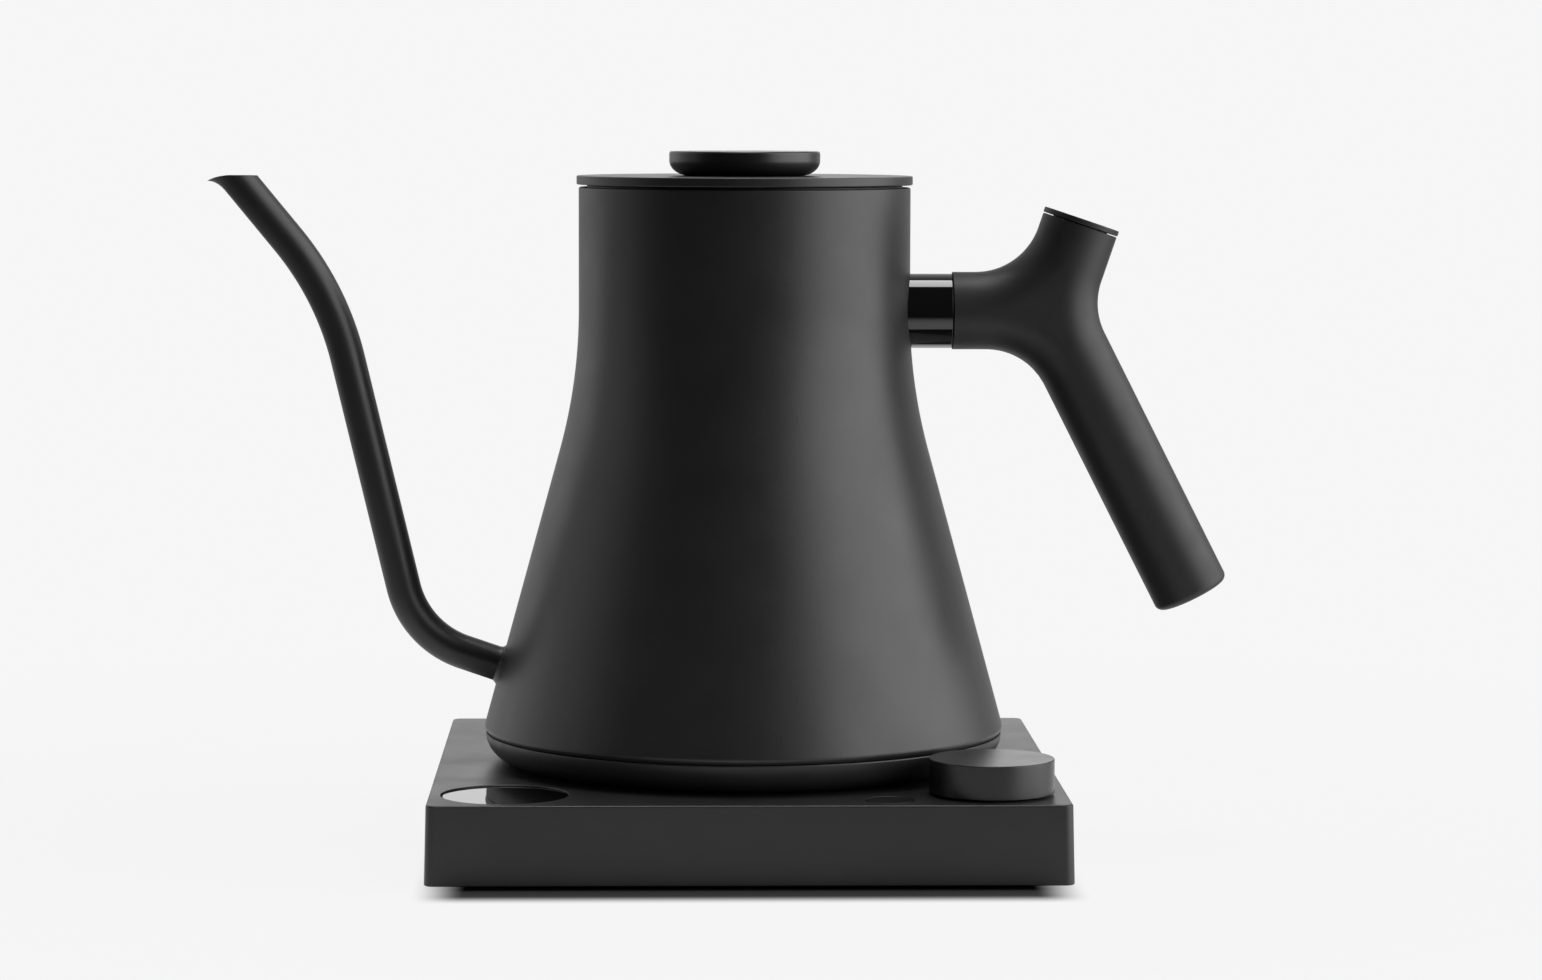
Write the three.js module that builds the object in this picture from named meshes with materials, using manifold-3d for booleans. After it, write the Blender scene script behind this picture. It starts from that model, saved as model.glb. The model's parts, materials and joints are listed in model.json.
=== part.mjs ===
// Gooseneck pour-over kettle that lifts off a square electric base.
// Millimetres, +Z up. The origin is on the kettle's axis, on the flat underside of the base,
// with the spout toward -X, the handle toward +X and the controls toward -Y.

import * as THREE from 'three';
import { mergeVertices } from 'three/addons/utils/BufferGeometryUtils.js';
import { ParametricGeometry } from 'three/addons/geometries/ParametricGeometry.js';
import Module from 'manifold-3d';

const wasm = await Module();
wasm.setup();

const DEGREE = Math.PI / 180;
const WELD_DISTANCE = 1e-4; // points nearer than this are one point
const FAR = 600; // larger than the whole object

// Flats around a round shape
const LARGE = 48;
const MEDIUM = 32;
const SMALL = 16;
const TINY = 12;
const HEX = 6;

// ---------------------------------------------------------------- driving dimensions

// Clearances
const GAP = 0.3; // between pieces that seat on or in each other
const RUN_GAP = 0.25; // around pieces that slide or turn
const CUT_PAST = 1; // how far a cutting shape passes the face it opens

// Screws
const SCREW_DRIVE = 0.45; // width of the drive as a share of the head

// Kettle body, a spun shell. Kettle heights are above the top of the base.
const RIM_HEIGHT = 162;
const NECK_RADIUS = 46.6;
const NECK_LENGTH = 34.1;
const WAIST_RADIUS = 150;
const FOOT_RADIUS = 73.2;
const FOOT_HEIGHT = 10.2; // where the foot is widest
const FOOT_ROUND = 2.16;
const FOOT_WRAP = 38 * DEGREE; // how far the foot turns under past its widest line
const RIM_ROUND = 0.5;
const BODY_WALL = 1.1;

// Bottom of the kettle
const REST_GAP = 0.3; // between the skirt and the top of the base
const SEAM = 0.55; // shadow line between the body and the skirt
const SKIRT_INSET = 0.25;
const SKIRT_ROUND = 8.8; // how far the skirt tucks in
const SKIRT_WALL = 2;
const SKIRT_SPIGOT = 4.2; // how far the skirt reaches up inside the body
const SKIRT_STEP = 1; // how far the spigot's root reaches down inside the skirt
const SKIRT_BOSS_RADIUS = 5;
const SKIRT_BOSS_HEIGHT = 5.3;
const SKIRT_SCREW_COUNT = 3;
const SKIRT_SCREW_SHORT = 3; // how far its screws stop below the floor
const FLOOR_HEIGHT = 18;
const FLOOR_THICKNESS = 1.2;
const STUD_RADIUS = 3;
const STUD_INSET = 11.3; // from the body wall to the middle of a floor stud
const SPREADER_RADIUS = 52;
const SPREADER_THICKNESS = 2;
const ELEMENT_RADIUS = 44;
const ELEMENT_TUBE = 3.2;
const ELEMENT_OPENING = 40 * DEGREE;
const ELEMENT_STATIONS = 28;
const ELEMENT_FLATS = 8;
const PROBE_DISTANCE = 31;
const PROBE_RADIUS = 2;
const PROBE_LENGTH = 16;
const PROBE_TAIL = 6; // below its flange's top
const PROBE_FLANGE = 4.5;
const PROBE_FLANGE_THICKNESS = 1.4;
const PROBE_SEAL_THICKNESS = 1.5;

// Swivel connector, kettle half and base half
const COUPLER_RADIUS = 23.9;
const COUPLER_HEIGHT = 14;
const COUPLER_LAP = 1.6; // how far it reaches past the dock's hole in the base
const COUPLER_HEADROOM = 1; // over the dock
const COUPLER_LEAD_IN = 1;
const DOCK_RADIUS = 15.6;
const DOCK_HEIGHT = 9; // above the top of the base
const DOCK_EARTH_WALL = 0.7;
const DOCK_EARTH_SHORT = 2; // how far its band stops below the top
const DOCK_FLANGE = 4;
const DOCK_FLANGE_THICKNESS = 2;
const DOCK_EDGE = 0.8;
const DOCK_FLOOR = 2;
const DOCK_DEPTH = 15; // below the top of the base
const COUPLER_EARTH_WALL = 0.7;
const EARTH_CLEARANCE = 0.6;
const LIVE_RADIUS = 2.4;
const NEUTRAL_RADIUS = 9.3; // middle of the ring contact
const NEUTRAL_WALL = 0.8;
const CONTACT_ENGAGE = 3; // how far the kettle's contacts stay above the top of the base

// Spout: three straight lengths joined by two bends, in the plane y = 0
const SPOUT_RADIUS = 4.86;
const SPOUT_WALL = 0.8;
const SPOUT_KNEE_OUT = 19.6; // from the widest line of the foot to the lower corner
const SPOUT_KNEE_HEIGHT = 35.3;
const SPOUT_ROOT_SLOPE = 18.9 * DEGREE; // above level
const SPOUT_LEAN = 13.4 * DEGREE; // from upright
const SPOUT_MOUTH_LEAN = 39.3 * DEGREE; // from upright
const SPOUT_MOUTH_DROP = 32.8; // from the mouth down to the upper corner
const SPOUT_MOUTH_RISE = 3; // of the mouth above the rim
const SPOUT_KNEE_BEND = 26;
const SPOUT_NECK_BEND = 83.2;
const SPOUT_LIP = 2.3;
const SPOUT_LIP_LENGTH = 4;
const SPOUT_LIP_OVERRUN = 1.4; // how far past the mouth the lip's curve is carried on

// Lid
const LID_GAP = 0.7; // shadow line between the rim and the lid
const LID_OVERHANG = 0.6;
const LID_THICKNESS = 2.5;
const LID_ROUND = 0.4;
const PLUG_CLEARANCE = 1.2;
const PLUG_DEPTH = 12.5;
const PLUG_WALL = 1.2;
const PLUG_POST = 5;
const PLUG_CHAMFER = 1;
const SEAL_REACH = 0.95; // of the seal outside the plug
const SEAL_HEIGHT = 3;
const SEAL_GROOVE = 0.9;
const SEAL_RISE = 4; // of the seal above the plug's underside
const SEAL_BEVEL = 0.5;
const KNOB_RADIUS = 21.2;
const KNOB_HEIGHT = 6.9;
const KNOB_ROUND = 0.8;
const KNOB_TUCK = 5.5; // how far the knob's foot tucks in
const KNOB_TUCK_HEIGHT = 4.3;
const KNOB_ROOF = 2; // over its screw hole
const LID_SCREW_RADIUS = 2;
const LID_SCREW_HEAD = 1.5;

// Handle: three round branches that meet behind the kettle, in the plane y = 0
const HANDLE_RADIUS = 10.9;
const HANDLE_BLEND = 18.7;
const HANDLE_DROP = 34.6; // of the branch into the body below the rim
const HANDLE_REACH = 39.7; // from the neck to where the branches meet
const HANDLE_TOP_LENGTH = 27.3;
const HANDLE_TOP_LEAN = 18.7 * DEGREE; // from upright
const GRIP_LENGTH = 90.4;
const GRIP_LEAN = 27 * DEGREE; // from upright
const GRIP_ROUND = 2;
const COLLAR_LENGTH = 11.7;
const COLLAR_RADIUS = 10.55;
const COLLAR_WALL = 1.9;
const CAP_THICKNESS = 1.5;
const CAP_RADIUS = 11;
const CAP_SPIGOT = 4;
const TOP_BORE = 8.4;
const TOP_BORE_PAST = 8; // how far the top bore passes the meeting point
const GRIP_BORE = 7.4;
const GRIP_BORE_START = 22; // from the meeting point
const PLUG_LENGTH = 8;
const WEIGHT_LENGTH = 55;
const ROD_RADIUS = 2.5;
const ROD_FLANGE = 8;
const ROD_FLANGE_THICKNESS = 2.5;
const ROD_PAST_NUT = 2;
const NUT_RADIUS = 4.5;
const NUT_THICKNESS = 4;

// Base. Base heights are above its flat underside.
const BASE_HEIGHT = 21.5;
const BASE_DRAFT = 0.5; // each side is this much wider at the foot
const BASE_CORNER = 2.5;
const BASE_INNER_CORNER = 0.6; // least radius of an inside corner
const BASE_EDGE = 0.5;
const BASE_WALL = 2.2;
const BASE_ROOF = 2.6;
const COVER_THICKNESS = 2.2;
const CORNER_POST_INSET = 6.5;
const CORNER_POST_RADIUS = 3.2;
const BASE_SCREW_RADIUS = 1.3;
const BASE_SCREW_HEAD = 2.6;
const BASE_SCREW_LENGTH = 9;
const SCREW_HEAD_THICKNESS = 1.2;
const FOOT_PAD_RADIUS = 8;
const FOOT_PAD_INSET = 18;
const FOOT_PAD_PROUD = 1.2;
const FOOT_PAD_POCKET = 1;

// Controls on the base
const DIAL_RADIUS = 16.9;
const DIAL_HEIGHT = 9.15;
const DIAL_LIFT = 0.65; // gap under the dial
const DIAL_WALL = 2;
const DIAL_EDGE = 0.3;
const DIAL_TRAVEL = 0.5; // of its press
const DIAL_CLEARANCE = 2.65; // between the dial and the kettle's foot
const DIAL_MARGIN = 3.5; // between the dial and the base's front and side
const SHAFT_RADIUS = 3;
const SHAFT_HEIGHT = 6; // above the top of the base
const SHAFT_FLAT = 1; // depth of the flat that drives the dial
const HUB_RADIUS = 6;
const BUSHING_RADIUS = 4.5;
const BUSHING_HEIGHT = 2.6; // above the top of the base
const BUSHING_NUT_RADIUS = 6.6;
const BUSHING_NUT_THICKNESS = 2;
const ENCODER_WIDTH = 12;
const ENCODER_HEIGHT = 6.5;
const ENCODER_FLOOR = 1;
const ENCODER_CHAMBER = 2.4;
const ENCODER_DISC = 1.9;
const DISPLAY_RADIUS = 17.2;
const DISPLAY_RECESS = 0.4;
const LENS_THICKNESS = 1.5;
const DISPLAY_LEDGE = 2; // how wide the ledge under the lens is
const DISPLAY_BOSS = 2.4;
const DISPLAY_BOSS_WALL = 1.5;
const GASKET_WALL = 2.4;
const GASKET_THICKNESS = 1.7;
const PANEL_WIDTH = 21;
const PANEL_THICKNESS = 1.6;
const BUTTON_RADIUS = 6.25;
const BUTTON_FLANGE = 7;
const BUTTON_FLANGE_THICKNESS = 1;
const BUTTON_FROM_DIAL = 28.1;
const BUTTON_MARGIN = 3.2; // between the button's hole and the front of the base
const BUTTON_STEM = 2;
const BUTTON_TRAVEL = 0.8;
const BUTTON_EDGE = 0.25;
const SWITCH_WIDTH = 6;
const SWITCH_CAN = 3.5;
const SWITCH_HEIGHT = 4.2;
const PLUNGER_RADIUS = 1.7;

// Inside the base
const BOARD_HEIGHT = 6.4;
const BOARD_THICKNESS = 1.6;
const BOARD_MARGIN = 1.2; // between a board and the wall
const CONTROL_BOARD_DEPTH = 31;
const POWER_BOARD_WIDTH = 84;
const POWER_BOARD_DEPTH = 40;
const POWER_BOARD_SHIFT = 26; // toward the spout
const STAND_RADIUS = 2.2;
const STAND_FROM_SIDE = 5;
const STAND_FROM_REAR = 6;
const RELAY_SIZE = [19, 15.5, 9.5];
const TRANSFORMER_SIZE = [22, 20, 9];
const RELAY_FROM_SIDE = 12;
const PARTS_APART = 6;
const PARTS_FROM_REAR = 2;
const GLAND_HEIGHT = 9.5;
const GLAND_BORE = 3.5;
const GLAND_RADIUS = 5.2;
const GLAND_FLANGE = 7;
const GLAND_FLANGE_THICKNESS = 1.5;
const GLAND_LENGTH = 12;
const GLAND_EDGE = 0.4;
const CLAMP_SPAN = 24;
const CLAMP_DEPTH = 6;
const CLAMP_THICKNESS = 2;
const CLAMP_FROM_WALL = 20;
const CLAMP_SCREW_INSET = 3.5;
const CLAMP_SCREW_SHORT = 1; // how far its screws stop above the bottom cover
const CLAMP_POST_RADIUS = 3;

// ---------------------------------------------------------------- finishes

const MATTE_COAT = { color: 0x1d1d1f, roughness: 0.55, metalness: 0.35 };
const SATIN_BLACK = { color: 0x232325, roughness: 0.4, metalness: 0.3 };
const GLOSS_BLACK = { color: 0x0b0b0c, roughness: 0.12, metalness: 0.4 };
const GLASS = { color: 0x08090b, roughness: 0.04, metalness: 0 };
const DARK_PLASTIC = { color: 0x19191a, roughness: 0.6, metalness: 0 };
const SOFT_BLACK = { color: 0x17171a, roughness: 0.7, metalness: 0 };
const STEEL = { color: 0xb8babd, roughness: 0.3, metalness: 1 };
const BRASS = { color: 0xc9a35a, roughness: 0.3, metalness: 1 };
const ALUMINIUM = { color: 0xc6c8ca, roughness: 0.45, metalness: 1 };
const NICKEL = { color: 0xa9a9a6, roughness: 0.35, metalness: 1 };
const RUBBER = { color: 0x161616, roughness: 0.9, metalness: 0 };
const SILICONE = { color: 0xd9d9d6, roughness: 0.7, metalness: 0 };
const BOARD_GREEN = { color: 0x1d5a34, roughness: 0.5, metalness: 0 };
const CREAM_PLASTIC = { color: 0xd8d2c0, roughness: 0.5, metalness: 0 };
const BLUE_PLASTIC = { color: 0x27507c, roughness: 0.5, metalness: 0 };
const AMBER = { color: 0xa9772c, roughness: 0.5, metalness: 0.1 };

// ---------------------------------------------------------------- shape helpers

// A solid for manifold-3d from a closed geometry, without the flat triangles at poles.
function toSolid(geometry) {
  const bare = geometry.clone();
  bare.deleteAttribute('normal');
  bare.deleteAttribute('uv');
  const merged = mergeVertices(bare, WELD_DISTANCE);
  const index = merged.index.array;
  const corners = [];
  for (let i = 0; i < index.length; i += 3) {
    const [a, b, c] = index.slice(i, i + 3);
    if (a !== b && b !== c && c !== a) corners.push(a, b, c);
  }
  const vertProperties = new Float32Array(merged.attributes.position.array);
  const triVerts = new Uint32Array(corners);
  return new wasm.Manifold(new wasm.Mesh({ numProp: 3, vertProperties, triVerts }));
}

function toGeometry(solid) {
  const { vertProperties, triVerts } = solid.getMesh();
  const geometry = new THREE.BufferGeometry();
  geometry.setAttribute('position', new THREE.BufferAttribute(vertProperties, 3));
  geometry.setIndex(new THREE.BufferAttribute(triVerts, 1));
  geometry.computeVertexNormals();
  return geometry;
}

function cut(body, ...tools) {
  return toGeometry(tools.reduce((solid, tool) => solid.subtract(toSolid(tool)), toSolid(body)));
}

function join(...bodies) {
  return toGeometry(bodies.map(toSolid).reduce((solid, other) => solid.add(other)));
}

// A body turned about the Z axis. The [radius, height] profile runs out along the bottom,
// up the outside and back in along the top; one that leaves the axis is closed on itself.
function lathe(profile, segments) {
  const points = profile.map(([radius, height]) => new THREE.Vector2(radius, height));
  if (profile[0][0] > 0) points.push(points[0].clone());
  return new THREE.LatheGeometry(points, segments).rotateX(Math.PI / 2);
}

function rod(radius, bottom, top, segments = SMALL) {
  return lathe([[0, bottom], [radius, bottom], [radius, top], [0, top]], segments);
}

function ring(inner, outer, bottom, top, segments = SMALL) {
  return lathe([[inner, bottom], [outer, bottom], [outer, top], [inner, top]], segments);
}

// A box from its sizes, standing on the given height with its middle over (x, y).
function block(x, y, bottom, width, depth, height) {
  return new THREE.BoxGeometry(width, depth, height).translate(x, y, bottom + height / 2);
}

// Points of an arc in a profile, with angles from the outward direction.
function arc(x, y, radius, from, to, steps) {
  const points = [];
  for (let i = 0; i <= steps; i++) {
    const angle = from + ((to - from) * i) / steps;
    points.push([x + radius * Math.cos(angle), y + radius * Math.sin(angle)]);
  }
  return points;
}

// A closed body through rings of equal length, each end closed at its ring's middle.
function loft(rings) {
  const count = rings[0].length;
  const middle = (points) => points.reduce((sum, p) => sum.clone().add(p)).clone().divideScalar(count);
  const pole = (points) => points.map(() => middle(points));
  const rows = [pole(rings[0]), ...rings, pole(rings.at(-1))];
  const surface = (u, v, target) => {
    const row = rows[Math.min(rows.length - 1, Math.round(v * (rows.length - 1)))];
    target.copy(row[Math.round(u * count) % count]);
  };
  return new ParametricGeometry(surface, count, rows.length - 1);
}

// One ring of a square with round corners.
function squareRing(half, corner, height) {
  const points = [];
  const stepsPerCorner = 3;
  for (let quarter = 0; quarter < 4; quarter++) {
    const middle = (quarter + 0.5) * 90 * DEGREE;
    const reach = (half - corner) * Math.SQRT2;
    const x = reach * Math.cos(middle);
    const y = reach * Math.sin(middle);
    const turn = arc(x, y, corner, quarter * 90 * DEGREE, (quarter + 1) * 90 * DEGREE, stepsPerCorner);
    turn.forEach(([px, py]) => points.push(new THREE.Vector3(px, py, height)));
  }
  return points;
}

// Turns about Z by an angle per copy, for pieces that repeat around the axis.
function around(count, start, make) {
  return Array.from({ length: count }, (_, i) => make(start + (i * 2 * Math.PI) / count, i));
}

function piece(name, geometry, finish) {
  const mesh = new THREE.Mesh(geometry, new THREE.MeshStandardMaterial(finish));
  mesh.name = name;
  return mesh;
}

function groupAt(position, pieces) {
  const group = new THREE.Group();
  group.position.copy(position);
  group.add(...pieces);
  return group;
}

// A screw pointing up, with its head's underside at height zero.
function screw(radius, head, headThickness, length) {
  const profile = [
    [0, -headThickness], [head, -headThickness], [head, 0], [radius, 0], [radius, length], [0, length],
  ];
  const driveRadius = head * SCREW_DRIVE;
  const drive = rod(driveRadius, -headThickness - CUT_PAST, -headThickness / 2, HEX);
  return cut(lathe(profile, TINY), drive);
}

// ---------------------------------------------------------------- shared places

const neckHeight = RIM_HEIGHT - NECK_LENGTH;
const waistCentre = [NECK_RADIUS + WAIST_RADIUS, neckHeight];
const footCentre = [FOOT_RADIUS - FOOT_ROUND, FOOT_HEIGHT];

// The straight flank touches the waist's circle from inside and the foot's from outside.
function flankAngle() {
  const across = waistCentre[0] - footCentre[0];
  const up = waistCentre[1] - footCentre[1];
  const distance = Math.hypot(across, up);
  const spread = Math.asin((WAIST_RADIUS + FOOT_ROUND) / distance);
  return Math.atan2(up, across) + spread - Math.PI / 2;
}

const flank = flankAngle();

// The body's radius at a height on its straight flank, offset inward by a thickness.
function flankRadius(height, inward) {
  const radius = FOOT_ROUND - inward;
  const startRadius = footCentre[0] + radius * Math.cos(flank);
  const startHeight = footCentre[1] + radius * Math.sin(flank);
  return startRadius - (height - startHeight) * Math.tan(flank);
}

const footEdgeHeight = FOOT_HEIGHT - FOOT_ROUND * Math.sin(FOOT_WRAP);
const skirtTop = footEdgeHeight - SEAM;
const skirtTopRadius = FOOT_RADIUS - SKIRT_INSET;
const skirtBottomRadius = skirtTopRadius - SKIRT_ROUND;
const floorStudDistance = flankRadius(FLOOR_HEIGHT, BODY_WALL) - STUD_INSET;
const spreaderBottom = FLOOR_HEIGHT - GAP - SPREADER_THICKNESS;

const controlOffset = (FOOT_RADIUS + DIAL_CLEARANCE + DIAL_RADIUS) * Math.SQRT1_2;
const baseHalf = controlOffset + DIAL_RADIUS + DIAL_MARGIN;
const dialPlace = new THREE.Vector3(controlOffset, -controlOffset, 0);
const displayPlace = new THREE.Vector3(-controlOffset, -controlOffset, 0);
const buttonY = -(baseHalf - BUTTON_MARGIN - BUTTON_RADIUS - RUN_GAP);
const buttonPlace = new THREE.Vector3(controlOffset - BUTTON_FROM_DIAL, buttonY, 0);
const roofUnderside = BASE_HEIGHT - BASE_ROOF;
const boardTop = BOARD_HEIGHT + BOARD_THICKNESS;
const lensBottom = BASE_HEIGHT - DISPLAY_RECESS - LENS_THICKNESS;
const ledgeTop = lensBottom - GAP;
const dockHoleRadius = COUPLER_RADIUS - COUPLER_LAP;
const postOffset = baseHalf - CORNER_POST_INSET;
const padOffset = baseHalf - FOOT_PAD_INSET;

// ---------------------------------------------------------------- kettle body

function bodySurface(inward) {
  const foot = arc(...footCentre, FOOT_ROUND - inward, -FOOT_WRAP, flank, 2);
  const waist = arc(...waistCentre, WAIST_RADIUS + inward, Math.PI + flank, Math.PI, 4);
  return [...foot, ...waist];
}

function bodyShell() {
  const rimOuter = arc(NECK_RADIUS - RIM_ROUND, RIM_HEIGHT - RIM_ROUND, RIM_ROUND, 0, 90 * DEGREE, 2);
  const rimInner = [[NECK_RADIUS - BODY_WALL, RIM_HEIGHT]];
  const inside = bodySurface(BODY_WALL).reverse();
  return lathe([...bodySurface(0), ...rimOuter, ...rimInner, ...inside], LARGE);
}

// The space the body fills, grown outward, to cut what is fitted against it.
function bodyEnvelope(outward) {
  const side = bodySurface(-outward);
  return lathe([[0, side[0][1]], ...side, [NECK_RADIUS + outward, RIM_HEIGHT], [0, RIM_HEIGHT]], LARGE * 2);
}

function makeBody() {
  return piece('kettle_body', cut(bodyShell(), spoutTube(SPOUT_RADIUS - SPOUT_WALL, true)), MATTE_COAT);
}

// ---------------------------------------------------------------- spout

const mouthHeight = RIM_HEIGHT + SPOUT_MOUTH_RISE;

// Corners of the spout's centre line: inside the body, lower, upper, past the mouth.
function spoutCorners() {
  const knee = new THREE.Vector3(-(FOOT_RADIUS + SPOUT_KNEE_OUT), 0, SPOUT_KNEE_HEIGHT);
  const neckZ = mouthHeight - SPOUT_MOUTH_DROP;
  const neckX = knee.x - (neckZ - knee.z) * Math.tan(SPOUT_LEAN);
  const neck = new THREE.Vector3(neckX, 0, neckZ);
  const inward = SPOUT_KNEE_OUT + FOOT_RADIUS - flankRadius(SPOUT_KNEE_HEIGHT, 0) + 2 * SPOUT_RADIUS;
  const root = new THREE.Vector3(inward, 0, -inward * Math.tan(SPOUT_ROOT_SLOPE)).add(knee);
  const past = SPOUT_MOUTH_DROP + 2 * SPOUT_RADIUS;
  const tip = new THREE.Vector3(-past * Math.tan(SPOUT_MOUTH_LEAN), 0, past).add(neck);
  return [root, knee, neck, tip];
}

// Points round one bend of the given radius, between the lengths before and after it.
function bend(before, corner, after, radius, steps) {
  const back = before.clone().sub(corner).normalize();
  const forward = after.clone().sub(corner).normalize();
  const half = back.angleTo(forward) / 2;
  const middle = back.clone().add(forward).normalize();
  const centre = middle.multiplyScalar(radius / Math.sin(half)).add(corner);
  const start = back.clone().multiplyScalar(radius / Math.tan(half)).add(corner).sub(centre);
  const end = forward.clone().multiplyScalar(radius / Math.tan(half)).add(corner).sub(centre);
  const axis = start.clone().cross(end).normalize();
  const turn = start.angleTo(end);
  return Array.from({ length: steps + 1 }, (_, i) =>
    start.clone().applyAxisAngle(axis, (turn * i) / steps).add(centre),
  );
}

function spoutLine() {
  const [root, knee, neck, tip] = spoutCorners();
  const lower = bend(root, knee, neck, SPOUT_KNEE_BEND, 6);
  const upper = bend(knee, neck, tip, SPOUT_NECK_BEND, 6);
  const lipLength = SPOUT_LIP_LENGTH + SPOUT_RADIUS;
  const mouth = tip.clone().sub(neck).multiplyScalar(SPOUT_MOUTH_DROP / (tip.z - neck.z)).add(neck);
  const along = tip.clone().sub(neck).normalize();
  const lip = [-lipLength, -lipLength / 2, 0].map((s) => along.clone().multiplyScalar(s).add(mouth));
  return [root, ...lower, ...upper, ...lip, tip];
}

// How far the pouring lip stands out at a distance below the mouth.
function lipReach(below) {
  const t = THREE.MathUtils.clamp(1 - below / SPOUT_LIP_LENGTH, 0, SPOUT_LIP_OVERRUN);
  return SPOUT_LIP * t * t;
}

// The spout's tube at a radius; a short one stops at the lower bend, inside the body.
function spoutTube(radius, onlyRoot = false) {
  const line = spoutLine();
  const points = onlyRoot ? line.slice(0, 2) : line;
  const across = new THREE.Vector3(0, 1, 0);
  const rings = points.map((point, i) => {
    const before = points[Math.max(0, i - 1)];
    const after = points[Math.min(points.length - 1, i + 1)];
    const along = after.clone().sub(before).normalize();
    const outward = across.clone().cross(along).negate();
    return around(TINY, 0, (angle) => {
      const offset = outward.clone().multiplyScalar(radius * Math.cos(angle));
      offset.addScaledVector(across, radius * Math.sin(angle));
      const onRim = offset.add(point);
      const front = Math.max(0, Math.cos(angle)) ** 2;
      const reach = onlyRoot ? 0 : lipReach(mouthHeight - onRim.z) * front;
      return onRim.addScaledVector(new THREE.Vector3(-1, 0, 0), reach);
    });
  });
  return loft(rings.reverse());
}

function makeSpout() {
  const aboveMouth = block(0, 0, mouthHeight, FAR, FAR, FAR);
  const tube = cut(spoutTube(SPOUT_RADIUS), spoutTube(SPOUT_RADIUS - SPOUT_WALL), aboveMouth);
  return piece('spout', cut(tube, bodyEnvelope(GAP)), MATTE_COAT);
}

// ---------------------------------------------------------------- kettle bottom

function onCircle(distance, angle) {
  return new THREE.Vector3(distance * Math.cos(angle), distance * Math.sin(angle), 0);
}

function floorStuds() {
  return around(SKIRT_SCREW_COUNT, 90 * DEGREE, (angle) => onCircle(floorStudDistance, angle));
}

function makeFloor() {
  const radius = flankRadius(FLOOR_HEIGHT + FLOOR_THICKNESS, BODY_WALL) - GAP;
  const plate = rod(radius, FLOOR_HEIGHT, FLOOR_HEIGHT + FLOOR_THICKNESS, LARGE);
  const studBottom = REST_GAP + SKIRT_BOSS_HEIGHT + GAP;
  const studs = floorStuds().map(({ x, y }) =>
    rod(STUD_RADIUS, studBottom, FLOOR_HEIGHT + FLOOR_THICKNESS / 2, TINY).translate(x, y, 0),
  );
  const pilots = floorStuds().map(({ x, y }) =>
    rod(BASE_SCREW_RADIUS + GAP, studBottom - CUT_PAST, FLOOR_HEIGHT - GAP, TINY).translate(x, y, 0),
  );
  const floorTop = FLOOR_HEIGHT + FLOOR_THICKNESS;
  const probeHole = rod(PROBE_RADIUS + GAP, FLOOR_HEIGHT - CUT_PAST, floorTop + CUT_PAST, SMALL);
  const tools = [...pilots, probeHole.translate(0, PROBE_DISTANCE, 0)];
  return piece('vessel_floor', cut(join(plate, ...studs), ...tools), STEEL);
}

function makeSpreader() {
  const plate = rod(SPREADER_RADIUS, spreaderBottom, spreaderBottom + SPREADER_THICKNESS, MEDIUM);
  const hole = rod(PROBE_RADIUS + GAP, spreaderBottom - CUT_PAST, FLOOR_HEIGHT, SMALL);
  return piece('heat_spreader', cut(plate, hole.translate(0, PROBE_DISTANCE, 0)), ALUMINIUM);
}

function makeElement() {
  const height = spreaderBottom - GAP - ELEMENT_TUBE;
  const start = -90 * DEGREE + ELEMENT_OPENING / 2;
  const sweep = 2 * Math.PI - ELEMENT_OPENING;
  const rings = Array.from({ length: ELEMENT_STATIONS + 1 }, (_, i) => {
    const angle = start + (sweep * i) / ELEMENT_STATIONS;
    return around(ELEMENT_FLATS, 0, (turn) => {
      const distance = ELEMENT_RADIUS + ELEMENT_TUBE * Math.cos(turn);
      return onCircle(distance, angle).setZ(height + ELEMENT_TUBE * Math.sin(turn));
    });
  });
  return piece('heating_element', loft(rings.reverse()), NICKEL);
}

function makeProbe() {
  const flangeTop = spreaderBottom - GAP;
  const flangeBottom = flangeTop - PROBE_FLANGE_THICKNESS;
  const bottom = flangeTop - PROBE_TAIL;
  const tip = bottom + PROBE_LENGTH;
  const profile = [
    [0, bottom], [PROBE_RADIUS, bottom], [PROBE_RADIUS, flangeBottom],
    [PROBE_FLANGE, flangeBottom], [PROBE_FLANGE, flangeTop], [PROBE_RADIUS, flangeTop],
    ...arc(0, tip, PROBE_RADIUS, 0, 90 * DEGREE, 3).slice(0, -1), [0, tip + PROBE_RADIUS],
  ];
  return piece('temperature_probe', lathe(profile, SMALL).translate(0, PROBE_DISTANCE, 0), STEEL);
}

function makeProbeSeal() {
  const bottom = FLOOR_HEIGHT + FLOOR_THICKNESS + GAP;
  const seal = ring(PROBE_RADIUS + GAP, PROBE_FLANGE, bottom, bottom + PROBE_SEAL_THICKNESS, SMALL);
  return piece('probe_seal', seal.translate(0, PROBE_DISTANCE, 0), SILICONE);
}

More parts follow.
